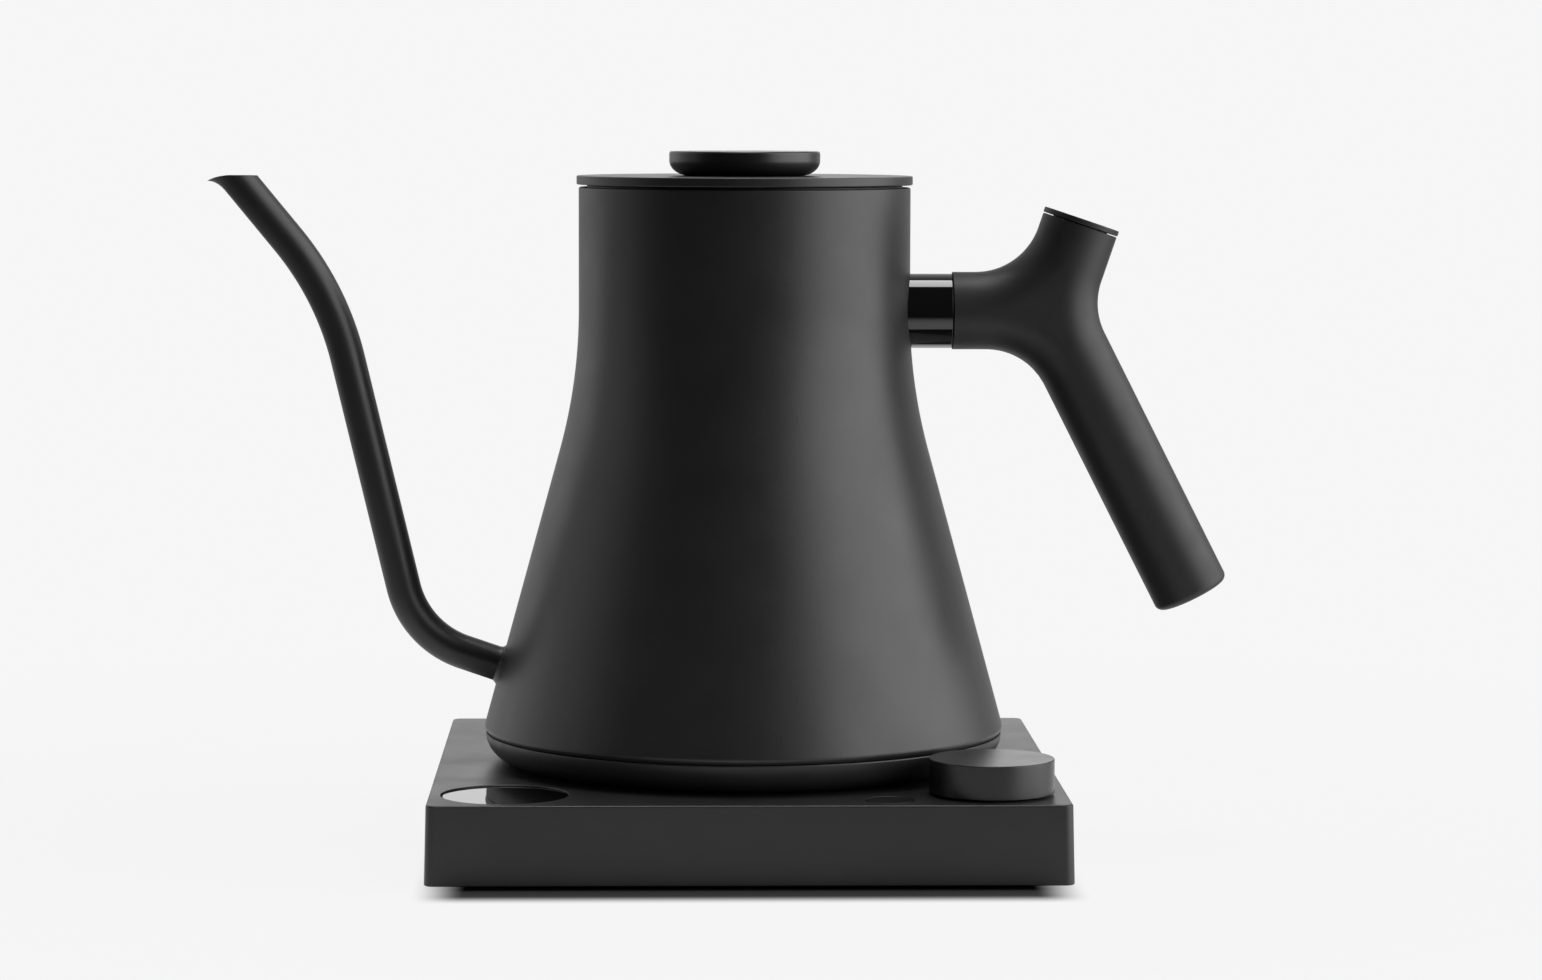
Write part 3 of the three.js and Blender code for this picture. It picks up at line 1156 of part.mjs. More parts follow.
function boardStands() {
  const stands = [];
  [-1, 1].forEach((side) => {
    stands.push([side * (controlBoardWidth / 2 - STAND_FROM_SIDE), controlBoardY]);
    const x = powerBoardX + side * (POWER_BOARD_WIDTH / 2 - STAND_FROM_SIDE);
    stands.push([x, powerBoardY + POWER_BOARD_DEPTH / 2 - STAND_FROM_REAR]);
  });
  return stands;
}

function makeBoards() {
  const board = (x, y, width, depth) => block(x, y, BOARD_HEIGHT, width, depth, BOARD_THICKNESS);
  const control = board(0, controlBoardY, controlBoardWidth, CONTROL_BOARD_DEPTH);
  const power = board(powerBoardX, powerBoardY, POWER_BOARD_WIDTH, POWER_BOARD_DEPTH);
  const dockClear = rod(dockHoleRadius + DOCK_FLANGE + BOARD_MARGIN, 0, BASE_HEIGHT, MEDIUM);
  return [
    piece('control_board', control, BOARD_GREEN),
    piece('power_board', cut(power, dockClear), BOARD_GREEN),
  ];
}

function makePowerParts() {
  const bottom = boardTop + GAP;
  const y = powerBoardY + POWER_BOARD_DEPTH / 2 - TRANSFORMER_SIZE[1] / 2 - PARTS_FROM_REAR;
  const relayX = powerBoardX - POWER_BOARD_WIDTH / 2 + RELAY_SIZE[0] / 2 + RELAY_FROM_SIDE;
  const transformerX = relayX + RELAY_SIZE[0] / 2 + TRANSFORMER_SIZE[0] / 2 + PARTS_APART;
  return [
    piece('power_relay', block(relayX, y, bottom, ...RELAY_SIZE), BLUE_PLASTIC),
    piece('supply_transformer', block(transformerX, y, bottom, ...TRANSFORMER_SIZE), AMBER),
  ];
}

function makeGland() {
  const outer = baseHalfAt(GLAND_HEIGHT) + GAP;
  const edge = GLAND_FLANGE_THICKNESS - GLAND_EDGE;
  const profile = [
    [GLAND_BORE, -GLAND_LENGTH], [GLAND_RADIUS, -GLAND_LENGTH], [GLAND_RADIUS, 0], [GLAND_FLANGE, 0],
    [GLAND_FLANGE, edge], [GLAND_FLANGE - GLAND_EDGE, GLAND_FLANGE_THICKNESS],
    [GLAND_BORE + GLAND_EDGE, GLAND_FLANGE_THICKNESS], [GLAND_BORE, edge],
  ];
  const gland = lathe(profile, SMALL).rotateX(-90 * DEGREE).translate(0, outer, GLAND_HEIGHT);
  return piece('cord_gland', gland, RUBBER);
}

function clampScrewPlaces() {
  return [-1, 1].map((side) => [side * (CLAMP_SPAN / 2 - CLAMP_SCREW_INSET), clampY]);
}

function makeClamp() {
  const bar = block(0, clampY, clampSeat, CLAMP_SPAN, CLAMP_DEPTH, CLAMP_THICKNESS);
  const archTop = GLAND_HEIGHT + GLAND_BORE + CLAMP_THICKNESS;
  const turn = (radius, depth) => rod(radius, -depth / 2, depth / 2, SMALL).rotateX(90 * DEGREE);
  const arch = turn(archTop - GLAND_HEIGHT, CLAMP_DEPTH).translate(0, clampY, GLAND_HEIGHT);
  const channel = turn(GLAND_BORE, 2 * CLAMP_DEPTH).translate(0, clampY, GLAND_HEIGHT);
  const below = block(0, clampY, clampSeat - CLAMP_SPAN, 2 * CLAMP_SPAN, 2 * CLAMP_DEPTH, CLAMP_SPAN);
  const holeTop = clampSeat + CLAMP_THICKNESS + CUT_PAST;
  const holes = clampScrewPlaces().map(([x, y]) =>
    rod(BASE_SCREW_RADIUS + GAP, clampSeat - CUT_PAST, holeTop, TINY).translate(x, y, 0));
  return piece('cord_clamp', cut(join(bar, arch), channel, below, ...holes), DARK_PLASTIC);
}

function makeClampScrews() {
  const seat = clampSeat + CLAMP_THICKNESS + GAP;
  const length = seat - COVER_THICKNESS - CLAMP_SCREW_SHORT;
  return clampScrewPlaces().map(([x, y], i) => {
    const shape = screw(BASE_SCREW_RADIUS, BASE_SCREW_HEAD, SCREW_HEAD_THICKNESS, length).rotateX(Math.PI);
    return piece(`clamp_screw_${i + 1}`, shape.translate(x, y, seat), STEEL);
  });
}

// ---------------------------------------------------------------- assembly

const kettle = groupAt(new THREE.Vector3(0, 0, BASE_HEIGHT), [
  makeBody(), makeSpout(), makeFloor(), makeSpreader(), makeElement(), makeProbe(), makeProbeSeal(),
  makeSkirt(), ...makeSkirtScrews(),
  makeHandleShell(), makeHandleCap(), makeHandleWeight(), makeGripPlug(), makeCollar(), makeHandleRod(),
  makeHandleNut(),
]);

const coupler = groupAt(new THREE.Vector3(0, 0, BASE_HEIGHT), [makeCoupler(), ...makeCouplerContacts()]);

const lid = groupAt(new THREE.Vector3(0, 0, BASE_HEIGHT), [
  makeLidDisc(), makeLidPlug(), makeLidSeal(), makeKnob(), makeLidScrew(),
]);

const base = groupAt(new THREE.Vector3(), [
  makeHousing(), makeCover(), ...makeFeet(), ...makeCoverScrews(),
  makeDock(), ...makeDockContacts(),
  makeLens(), makeGasket(), makePanel(),
  makeEncoder(), makeEncoderShaft(), makeEncoderNut(), makeDial(), makeDialHub(), makeButton(), makeSwitch(),
  ...makeBoards(), ...makePowerParts(), makeGland(), makeClamp(), ...makeClampScrews(),
]);

const object = new THREE.Group();
object.add(base, coupler, kettle, lid);

export default object;
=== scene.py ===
"""Gooseneck pour-over kettle on its electric base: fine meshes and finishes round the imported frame."""

import json
import math

import bmesh
import bpy
from bpy.props import FloatProperty, FloatVectorProperty, PointerProperty
from mathutils import Euler, Matrix, Vector


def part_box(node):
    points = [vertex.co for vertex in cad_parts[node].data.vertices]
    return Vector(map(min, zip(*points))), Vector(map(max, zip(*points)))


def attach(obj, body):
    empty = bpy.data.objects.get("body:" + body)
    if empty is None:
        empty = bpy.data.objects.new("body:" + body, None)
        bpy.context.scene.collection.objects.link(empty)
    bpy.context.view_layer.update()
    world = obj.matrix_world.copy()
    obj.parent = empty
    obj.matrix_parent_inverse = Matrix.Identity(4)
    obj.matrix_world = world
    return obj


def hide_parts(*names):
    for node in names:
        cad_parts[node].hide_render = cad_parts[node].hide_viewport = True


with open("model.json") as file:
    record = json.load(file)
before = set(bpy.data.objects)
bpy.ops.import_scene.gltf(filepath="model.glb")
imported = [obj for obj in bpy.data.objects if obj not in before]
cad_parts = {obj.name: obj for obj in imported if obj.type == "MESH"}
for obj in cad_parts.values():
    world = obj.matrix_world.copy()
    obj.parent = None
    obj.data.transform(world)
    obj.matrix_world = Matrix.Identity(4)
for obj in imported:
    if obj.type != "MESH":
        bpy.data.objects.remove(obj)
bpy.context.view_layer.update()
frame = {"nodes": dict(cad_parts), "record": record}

bl_info = {
    "name": "Pour-over Kettle",
    "version": (1, 0, 0),
    "blender": (4, 5, 0),
    "location": "3D View > Sidebar > Kettle",
    "description": "Builds a gooseneck kettle, its electric base and a studio round them",
    "category": "Add Mesh",
}

MM = 0.001
ROUND = 160  # flats round a large turned piece
SMALL_ROUND = 72  # flats round a small turned piece
SMOOTH_ANGLE = math.radians(28)
QUARTER_TURN = math.pi / 2
ON_AXIS = 1e-9  # a profile's radius under this lies on its axis
FIT_GAP = 0.3 * MM  # between pieces that seat on or in each other
LID_OVERHANG = 0.6 * MM  # of the lid past the neck
FLANGE_DROP = 2.9 * MM  # from the base's top down to the flanges of the dock and the key


# ------------------------------------------------------------------ places from the frame

def low(node):
    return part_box(node)[0]


def high(node):
    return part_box(node)[1]


def middle(node):
    lo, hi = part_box(node)
    return (lo + hi) / 2


def half_width(node):
    lo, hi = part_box(node)
    return (hi.x - lo.x) / 2


BASE_TOP = high("base_housing").z
RIM = high("kettle_body").z
LID_RADIUS = half_width("lid_disc")
HANDLE_RADIUS = (high("handle_shell").y - low("handle_shell").y) / 2
SPOUT_RADIUS = (high("spout").y - low("spout").y) / 2
COLLAR_END = high("handle_collar").x
COLLAR_HEIGHT = middle("handle_collar").z


# ------------------------------------------------------------------ sizes and colours

def share(name, text, default):
    return FloatProperty(name=name, description=text, default=default, min=0, max=1)


def length(name, text, default):
    return FloatProperty(name=name, description=text, default=default, unit="LENGTH", subtype="DISTANCE")


def angle(name, text, degrees):
    return FloatProperty(name=name, description=text, default=math.radians(degrees), subtype="ANGLE")


def colour(name, text, default):
    return FloatVectorProperty(name=name, description=text, default=default, subtype="COLOR",
                               size=3, min=0, max=1)


class KettleSizes(bpy.types.PropertyGroup):
    """Sizes of the kettle's body and lid"""

    neck_radius: length("Neck radius", "Outside radius of the straight neck", LID_RADIUS - LID_OVERHANG)
    neck_length: length("Neck length", "From the rim down to where the flank starts to swell", 34.1 * MM)
    waist_radius: length("Waist radius", "Radius of the hollow curve under the neck", 150 * MM)
    foot_radius: length("Foot radius", "Widest radius, near the bottom", 73.2 * MM)
    foot_height: length("Foot height", "Height of the widest line above the base", 10.2 * MM)
    foot_round: length("Foot rounding", "Radius that turns the flank under", 2.16 * MM)
    foot_wrap: angle("Foot wrap", "How far the foot turns under its widest line", 38)
    wall: length("Body wall", "Thickness of the body's sheet", 1.1 * MM)
    rim_round: length("Rim rounding", "Radius of the rim's outer edge", 0.45 * MM)
    skirt_seam: length("Skirt seam", "Shadow line between the body and its skirt", 0.3 * MM)
    skirt_tuck: length("Skirt tuck", "How far the skirt tucks in under the foot", 8.8 * MM)
    lid_round: length("Lid rounding", "Radius of the lid's edges", 0.35 * MM)
    knob_tuck: length("Knob tuck", "How far the knob's foot tucks in", 5.5 * MM)
    knob_tuck_height: length("Knob bowl height", "Height of the knob's rounded foot", 4.3 * MM)
    knob_round: length("Knob rounding", "Radius of the knob's top edge", 0.7 * MM)


class SpoutSizes(bpy.types.PropertyGroup):
    """Sizes of the gooseneck spout"""

    wall: length("Spout wall", "Thickness of the tube", 0.8 * MM)
    knee_out: length("Knee reach", "From the foot's widest line out to the lower corner", 19.6 * MM)
    knee_height: length("Knee height", "Height of the lower corner above the base", 35.3 * MM)
    root_slope: angle("Root slope", "Rise of the short length that leaves the body", 18.9)
    lean: angle("Lean", "Tilt of the long straight length", 13.4)
    mouth_lean: angle("Mouth lean", "Tilt of the last straight length", 39.3)
    mouth_drop: length("Mouth drop", "From the mouth down to the upper corner", 32.8 * MM)
    knee_bend: length("Knee bend", "Radius of the lower bend", 26 * MM)
    neck_bend: length("Neck bend", "Radius of the upper bend", 83.2 * MM)
    lip: length("Lip", "How far the pouring lip stands out", 1.5 * MM)
    lip_length: length("Lip length", "Height over which the lip turns out", 4 * MM)
    droop: length("Droop", "How far the lip's tip bends down", 1.6 * MM)
    droop_length: length("Droop length", "Length of the lip that bends down", 6 * MM)
    weld: length("Weld", "Size of the smoothed weld at the body", 1.3 * MM)


class HandleSizes(bpy.types.PropertyGroup):
    """Sizes of the branching handle"""

    reach: length("Reach", "From the neck to where the branches meet", 39.7 * MM)
    blend: length("Blend", "Radius in the corners between the branches", 18.7 * MM)
    top_lean: angle("Top lean", "Tilt of the short upper branch", 18.7)
    top_length: length("Top length", "Length of the upper branch to its cap's top", 27.3 * MM)
    grip_lean: angle("Grip lean", "Tilt of the grip", 27)
    grip_length: length("Grip length", "Length of the grip", 90.4 * MM)
    grip_round: length("Grip rounding", "Radius round the end of the grip", 2 * MM)
    cap_thickness: length("Cap thickness", "Thickness of the upper branch's cap", 1.5 * MM)
    cap_seam: length("Cap seam", "Shadow line under the cap", 0.3 * MM)


class BaseSizes(bpy.types.PropertyGroup):
    """Sizes of the electric base and its controls"""

    draft: length("Draft", "How much wider each side is at the foot", 0.5 * MM)
    corner: length("Corner", "Radius of the upright corners", 2.5 * MM)
    edge: length("Edge", "Radius of the top edge", 0.55 * MM)
    wall: length("Wall", "Thickness of the sides", 2.2 * MM)
    roof: length("Roof", "Thickness of the top", 2.6 * MM)
    hole_edge: length("Hole edge", "Bevel round the openings in the top", 0.3 * MM)
    display_gap: length("Display gap", "Gap round the display's glass", 0.3 * MM)
    button_gap: length("Button gap", "Gap round the button", 0.25 * MM)
    button_dish: length("Button dish", "Depth of the hollow in the button's face", 0.35 * MM)
    dial_edge: length("Dial edge", "Bevel round the dial's face", 0.3 * MM)
    foot_edge: length("Foot pad edge", "Rounding of the rubber feet", 0.4 * MM)


class FinishColours(bpy.types.PropertyGroup):
    """Colours of the finishes"""

    coat: colour("Coat", "Matte powder coat of the body, lid and base", (0.014, 0.014, 0.0145))
    satin: colour("Satin", "Satin black of the dial and the knob", (0.013, 0.013, 0.0135))
    gloss: colour("Gloss", "Polished black of the handle's collar", (0.004, 0.004, 0.0042))
    grip: colour("Grip", "Soft black of the handle", (0.016, 0.016, 0.017))
    plastic: colour("Plastic", "Dark moulded plastic under the kettle", (0.02, 0.02, 0.0205))
    glass: colour("Glass", "Smoked glass of the display", (0.003, 0.003, 0.0034))


class StudioSettings(bpy.types.PropertyGroup):
    """Light, floor and camera"""

    backdrop: colour("Backdrop", "Plain pale colour behind everything", (0.922, 0.922, 0.922))
    floor: colour("Floor", "Plain pale floor", (0.86, 0.86, 0.86))
    floor_radius: length("Floor radius", "Where the floor has melted into the backdrop", 0.5)
    floor_glow: share("Floor glow", "Share of the floor's light that is even", 0.94)
    # The next two set the painted shadow on the floor round the base
    painted_shadow_reach: length("Shadow reach", "How far the shadow runs before and behind the base", 22 * MM)
    painted_shadow_depth: share("Shadow depth", "Darkness of the shadow at the base", 1)
    camera_side: length("Camera side", "Camera's distance to the side of the kettle's axis", -0.0267)
    camera_back: length("Camera back", "Camera's distance in front of the kettle's axis", 1.2584)
    camera_rise: length("Camera rise", "Camera's height above the base's top", 0.1834)
    camera_yaw: angle("Camera yaw", "Turn of the view toward the handle", 1.562)
    camera_pitch: angle("Camera pitch", "Tilt of the view toward the floor", 4.848)
    camera_roll: angle("Camera roll", "Turn of the picture in its own plane", 0.15)
    lens: FloatProperty(name="Lens", description="Focal length in millimetres", default=104.4,
                        min=20, max=300)


GROUPS = {
    "kettle_sizes": KettleSizes,
    "spout_sizes": SpoutSizes,
    "handle_sizes": HandleSizes,
    "base_sizes": BaseSizes,
    "kettle_colours": FinishColours,
    "kettle_studio": StudioSettings,
}


def sizes(name):
    return getattr(bpy.context.scene, name)


# ------------------------------------------------------------------ mesh making

def make_object(name, points, faces):
    """A linked object with clean, outward faces."""
    mesh = bpy.data.meshes.new(name)
    mesh.from_pydata([tuple(p) for p in points], [], faces)
    body = bmesh.new()
    body.from_mesh(mesh)
    bmesh.ops.remove_doubles(body, verts=body.verts, dist=1e-7)
    bmesh.ops.dissolve_degenerate(body, edges=body.edges, dist=1e-8)
    bmesh.ops.recalc_face_normals(body, faces=body.faces)
    body.to_mesh(mesh)
    body.free()
    obj = bpy.data.objects.new(name, mesh)
    bpy.context.scene.collection.objects.link(obj)
    return obj


def lathe_mesh(profile, flats):
    """Points and faces of a [radius, height] profile turned about the Z axis."""
    points, faces, rows = [], [], []
    for radius, height in profile:
        if radius < ON_AXIS:
            rows.append([len(points)])
            points.append(Vector((0, 0, height)))
            continue
        rows.append(list(range(len(points), len(points) + flats)))
        for i in range(flats):
            turn = 2 * math.pi * i / flats
            points.append(Vector((radius * math.cos(turn), radius * math.sin(turn), height)))
    closed = profile[0][0] > ON_AXIS
    pairs = zip(rows, rows[1:] + ([rows[0]] if closed else []))
    for near, far in pairs:
        for i in range(flats):
            j = (i + 1) % flats
            a, b = near[i % len(near)], near[j % len(near)]
            c, d = far[j % len(far)], far[i % len(far)]
            corners = list(dict.fromkeys((a, b, c, d)))
            if len(corners) > 2:
                faces.append(corners)
    return points, faces


def turned(name, profile, place=(0, 0, 0), flats=ROUND, axis=(0, 0, 1)):
    """A turned piece, its axis along the given direction through the given place."""
    points, faces = lathe_mesh(profile, flats)
    tilt = Vector((0, 0, 1)).rotation_difference(Vector(axis)).to_matrix()
    moved = [tilt @ p + Vector(place) for p in points]
    return make_object(name, moved, faces)


def loft(name, rings):
    """A closed piece through rings of equal length, with flat ends."""
    count = len(rings[0])
    points = [p for ring in rings for p in ring]
    faces = []
    for row in range(len(rings) - 1):
        for i in range(count):
            j = (i + 1) % count
            near, far = row * count, (row + 1) * count
            faces.append((near + i, near + j, far + j, far + i))
    faces.append(tuple(range(count)))
    last = (len(rings) - 1) * count
    faces.append(tuple(range(last, last + count)))
    return make_object(name, points, faces)


def arc(x, y, radius, start, end, steps):
    """Points of an arc in a profile, with angles from the outward direction."""
    turns = [start + (end - start) * i / steps for i in range(steps + 1)]
    return [(x + radius * math.cos(t), y + radius * math.sin(t)) for t in turns]


def quarter(x, y, radius, first=0, steps=5):
    """A quarter turn in a profile that starts at a number of quarter turns."""
    return arc(x, y, radius, first * QUARTER_TURN, (first + 1) * QUARTER_TURN, steps)


def square_ring(half, corner, height, steps=8):
    """One ring of a square with round corners."""
    ring = []
    for turn in range(4):
        way = (turn + 0.5) * QUARTER_TURN
        reach = (half - corner) * math.sqrt(2)
        centre = (reach * math.cos(way), reach * math.sin(way))
        ring += [Vector((x, y, height)) for x, y in quarter(*centre, corner, turn, steps)]
    return ring


def subtract(target, cutters):
    """Cuts closed pieces out of the target and removes them."""
    for cutter in cutters:
        tool = target.modifiers.new("cut", "BOOLEAN")
        tool.operation = "DIFFERENCE"
        tool.solver = "EXACT"
        tool.object = cutter
    depsgraph = bpy.context.evaluated_depsgraph_get()
    result = bpy.data.meshes.new_from_object(target.evaluated_get(depsgraph))
    target.modifiers.clear()
    target.data = result
    for cutter in cutters:
        bpy.data.objects.remove(cutter)


def fit_out(obj, body, slot, *nodes):
    """Gives a piece its shading, its body and its slot's finish, and hides the CAD nodes it stands for."""
    obj.data.materials.clear()
    obj.data.materials.append(finish_of(slot))
    obj.data.shade_smooth()
    obj.data.set_sharp_from_angle(angle=SMOOTH_ANGLE)
    even = obj.modifiers.new("even_shading", "WEIGHTED_NORMAL")
    even.keep_sharp = True
    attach(obj, body)
    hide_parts(*nodes)


# ------------------------------------------------------------------ finishes

class Nodes:
    """A short way to write a material's nodes and links."""

    def __init__(self, name):
        self.material = bpy.data.materials.get(name) or bpy.data.materials.new(name)
        self.material.use_nodes = True
        self.tree = self.material.node_tree
        self.tree.nodes.clear()
        self.shader = self.tree.nodes.new("ShaderNodeBsdfPrincipled")
        output = self.tree.nodes.new("ShaderNodeOutputMaterial")
        self.link(self.shader.outputs["BSDF"], output.inputs["Surface"])
        self.place = self.tree.nodes.new("ShaderNodeTexCoord").outputs["Object"]

    def link(self, source, target):
        self.tree.links.new(source, target)

    def noise(self, size, detail=3.0, stretch=None):
        """Noise with features of a size in metres, drawn out along the axes by stretch."""
        node = self.tree.nodes.new("ShaderNodeTexNoise")
        node.inputs["Scale"].default_value = 1 / size
        node.inputs["Detail"].default_value = detail
        place = self.place
        if stretch:
            scale = self.tree.nodes.new("ShaderNodeMapping")
            scale.inputs["Scale"].default_value = stretch
            self.link(place, scale.inputs["Vector"])
            place = scale.outputs["Vector"]
        self.link(place, node.inputs["Vector"])
        return node.outputs["Fac"]

    def spread(self, source, low_value, high_value):
        """Maps the middle of a noise onto a range."""
        node = self.tree.nodes.new("ShaderNodeMapRange")
        node.inputs["From Min"].default_value = 0.3
        node.inputs["From Max"].default_value = 0.7
        node.inputs["To Min"].default_value = low_value
        node.inputs["To Max"].default_value = high_value
        self.link(source, node.inputs["Value"])
        return node.outputs["Result"]

    def vary_roughness(self, source, roughness, by):
        self.link(self.spread(source, roughness - by, roughness + by), self.shader.inputs["Roughness"])

    def vary_colour(self, source, tint, by):
        mix = self.tree.nodes.new("ShaderNodeMix")
        mix.data_type = "RGBA"
        mix.inputs["A"].default_value = (*[c * (1 - by) for c in tint], 1)
        mix.inputs["B"].default_value = (*[min(1, c * (1 + by)) for c in tint], 1)
        self.link(self.spread(source, 0, 1), mix.inputs["Factor"])
        self.link(mix.outputs["Result"], self.shader.inputs["Base Color"])

    def bump(self, source, depth):
        """Raises the surface by a depth in metres, on top of any earlier bump."""
        node = self.tree.nodes.new("ShaderNodeBump")
        node.inputs["Strength"].default_value = 1
        node.inputs["Distance"].default_value = depth
        self.link(source, node.inputs["Height"])
        before = self.shader.inputs["Normal"].links
        if before:
            self.link(before[0].from_socket, node.inputs["Normal"])
        self.link(node.outputs["Normal"], self.shader.inputs["Normal"])

    def set(self, name, value):
        self.shader.inputs[name].default_value = value


def powder_coat(name, tint, roughness, grain=0.35 * MM, depth=0.012 * MM):
    """Baked powder coat: a fine pebbled skin over metal."""
    made = Nodes(name)
    made.vary_colour(made.noise(9 * MM), tint, 0.07)
    made.vary_roughness(made.noise(14 * MM, 4), roughness, 0.03)
    made.bump(made.noise(grain, 2), depth)
    made.bump(made.noise(3.2 * grain, 2), 1.6 * depth)
    made.set("Specular IOR Level", 0.55)
    return made.material


def moulded_plastic(name, tint, roughness, grain=0.25 * MM, depth=0.006 * MM):
    """Moulded plastic with a fine tool grain."""
    made = Nodes(name)
    made.vary_colour(made.noise(12 * MM), tint, 0.05)
    made.vary_roughness(made.noise(6 * MM), roughness, 0.04)
    made.bump(made.noise(grain, 1), depth)
    return made.material


def polished_plastic(name, tint):
    """Polished plastic with the faint waves of a moulding."""
    made = Nodes(name)
    made.vary_colour(made.noise(20 * MM), tint, 0.05)
    made.vary_roughness(made.noise(5 * MM), 0.06, 0.015)
    made.bump(made.noise(9 * MM, 1), 0.004 * MM)
    made.set("Coat Weight", 0.6)
    made.set("Coat Roughness", 0.03)
    return made.material


def smoked_glass(name, tint):
    """Dark mirror-flat glass with a little dust haze."""
    made = Nodes(name)
    made.vary_colour(made.noise(30 * MM), tint, 0.1)
    made.vary_roughness(made.noise(8 * MM, 5), 0.025, 0.015)
    made.set("IOR", 1.52)
    return made.material


def brushed_metal(name, tint, roughness, stretch=(1, 1, 30)):
    """Metal with fine drawn lines."""
    made = Nodes(name)
    lines = made.noise(0.5 * MM, 4, stretch)
    made.vary_colour(made.noise(7 * MM), tint, 0.08)
    made.vary_roughness(lines, roughness, 0.08)
    made.bump(lines, 0.003 * MM)
    made.set("Metallic", 1)
    return made.material


def soft_rubber(name, tint, roughness=0.8):
    """Matte rubber with a dusty bloom."""
    made = Nodes(name)
    made.vary_colour(made.noise(2 * MM, 4), tint, 0.2)
    made.vary_roughness(made.noise(4 * MM), roughness, 0.08)
    made.bump(made.noise(0.4 * MM, 3), 0.01 * MM)
    return made.material


# Each slot of the record: how its finish is made, the finish's name, its colour or the setting
# that holds it, and the maker's other values
FINISHES = {
    "matte_coat": (powder_coat, "matte_powder_coat", "coat", 0.4),
    "satin_black": (powder_coat, "satin_black", "satin", 0.32, 0.2 * MM, 0.004 * MM),
    "gloss_black": (polished_plastic, "polished_black", "gloss"),
    "display_glass": (smoked_glass, "smoked_glass", "glass"),
    "display_black": (smoked_glass, "display_face", "glass"),
    "dark_plastic": (moulded_plastic, "dark_moulded_plastic", "plastic", 0.45),
    "soft_black": (moulded_plastic, "soft_touch_black", "grip", 0.5, 0.3 * MM, 0.009 * MM),
    "steel": (brushed_metal, "brushed_steel", (0.56, 0.56, 0.57), 0.3),
    "nickel": (brushed_metal, "plated_nickel", (0.5, 0.48, 0.45), 0.35, (1, 1, 6)),
    "aluminium": (brushed_metal, "rolled_aluminium", (0.7, 0.7, 0.71), 0.4, (1, 30, 1)),
    "brass": (brushed_metal, "turned_brass", (0.68, 0.5, 0.24), 0.25, (1, 1, 20)),
    "rubber": (soft_rubber, "black_rubber", (0.014, 0.014, 0.014)),
    "silicone": (soft_rubber, "pale_silicone", (0.6, 0.6, 0.58), 0.5),
    "connector_cream": (moulded_plastic, "cream_connector", (0.62, 0.58, 0.48), 0.45),
    "board_green": (moulded_plastic, "lacquered_board", (0.02, 0.12, 0.05), 0.35, 0.6 * MM, 0.02 * MM),
    "relay_blue": (moulded_plastic, "blue_relay", (0.03, 0.1, 0.26), 0.4),
    "coil_amber": (moulded_plastic, "taped_winding", (0.35, 0.2, 0.04), 0.5, 0.5 * MM, 0.05 * MM),
}


def make_finishes():
    tints = sizes("kettle_colours")
    for maker, name, tint, *details in FINISHES.values():
        maker(name, getattr(tints, tint) if isinstance(tint, str) else tint, *details)


def finish_of(slot):
    return bpy.data.materials[FINISHES[slot][1]]


# ------------------------------------------------------------------ kettle body, skirt and lid

def neck_height(kettle):
    return RIM - kettle.neck_length


def flank_angle(kettle):
    """Slope of the straight flank, which touches the waist's curve and the foot's."""
    across = kettle.neck_radius + kettle.waist_radius - (kettle.foot_radius - kettle.foot_round)
    up = neck_height(kettle) - BASE_TOP - kettle.foot_height
    spread = math.asin((kettle.waist_radius + kettle.foot_round) / math.hypot(across, up))
    return math.atan2(up, across) + spread - math.pi / 2


def body_side(kettle, inward):
    """The body's surface from the foot to the neck, offset inward."""
    flank = flank_angle(kettle)
    foot_x = kettle.foot_radius - kettle.foot_round
    foot_z = BASE_TOP + kettle.foot_height
    foot = arc(foot_x, foot_z, kettle.foot_round - inward, -kettle.foot_wrap, flank, 10)
    waist_x = kettle.neck_radius + kettle.waist_radius
    waist_z, waist_radius = neck_height(kettle), kettle.waist_radius + inward
    waist = arc(waist_x, waist_z, waist_radius, math.pi + flank, math.pi, 24)
    return foot + waist


def body_radius(kettle, height):
    """Outside radius of the body at a height, in the frame."""
    side = body_side(kettle, 0)
    for (r0, z0), (r1, z1) in zip(side, side[1:]):
        if z0 <= height <= z1:
            return r0 + (r1 - r0) * (height - z0) / (z1 - z0)
    return kettle.neck_radius if height > side[-1][1] else side[0][0]


def make_body():
    kettle = sizes("kettle_sizes")
    edge = kettle.rim_round
    outside = body_side(kettle, 0)
    rim = quarter(kettle.neck_radius - edge, RIM - edge, edge)
    inner_edge = kettle.neck_radius - kettle.wall
    rim += quarter(inner_edge + edge / 2, RIM - edge / 2, edge / 2, 1)
    inside = body_side(kettle, kettle.wall)[::-1]
    shell = turned("kettle_body_shell", outside + rim + inside)
    fit_out(shell, "kettle", "matte_coat", "kettle_body")


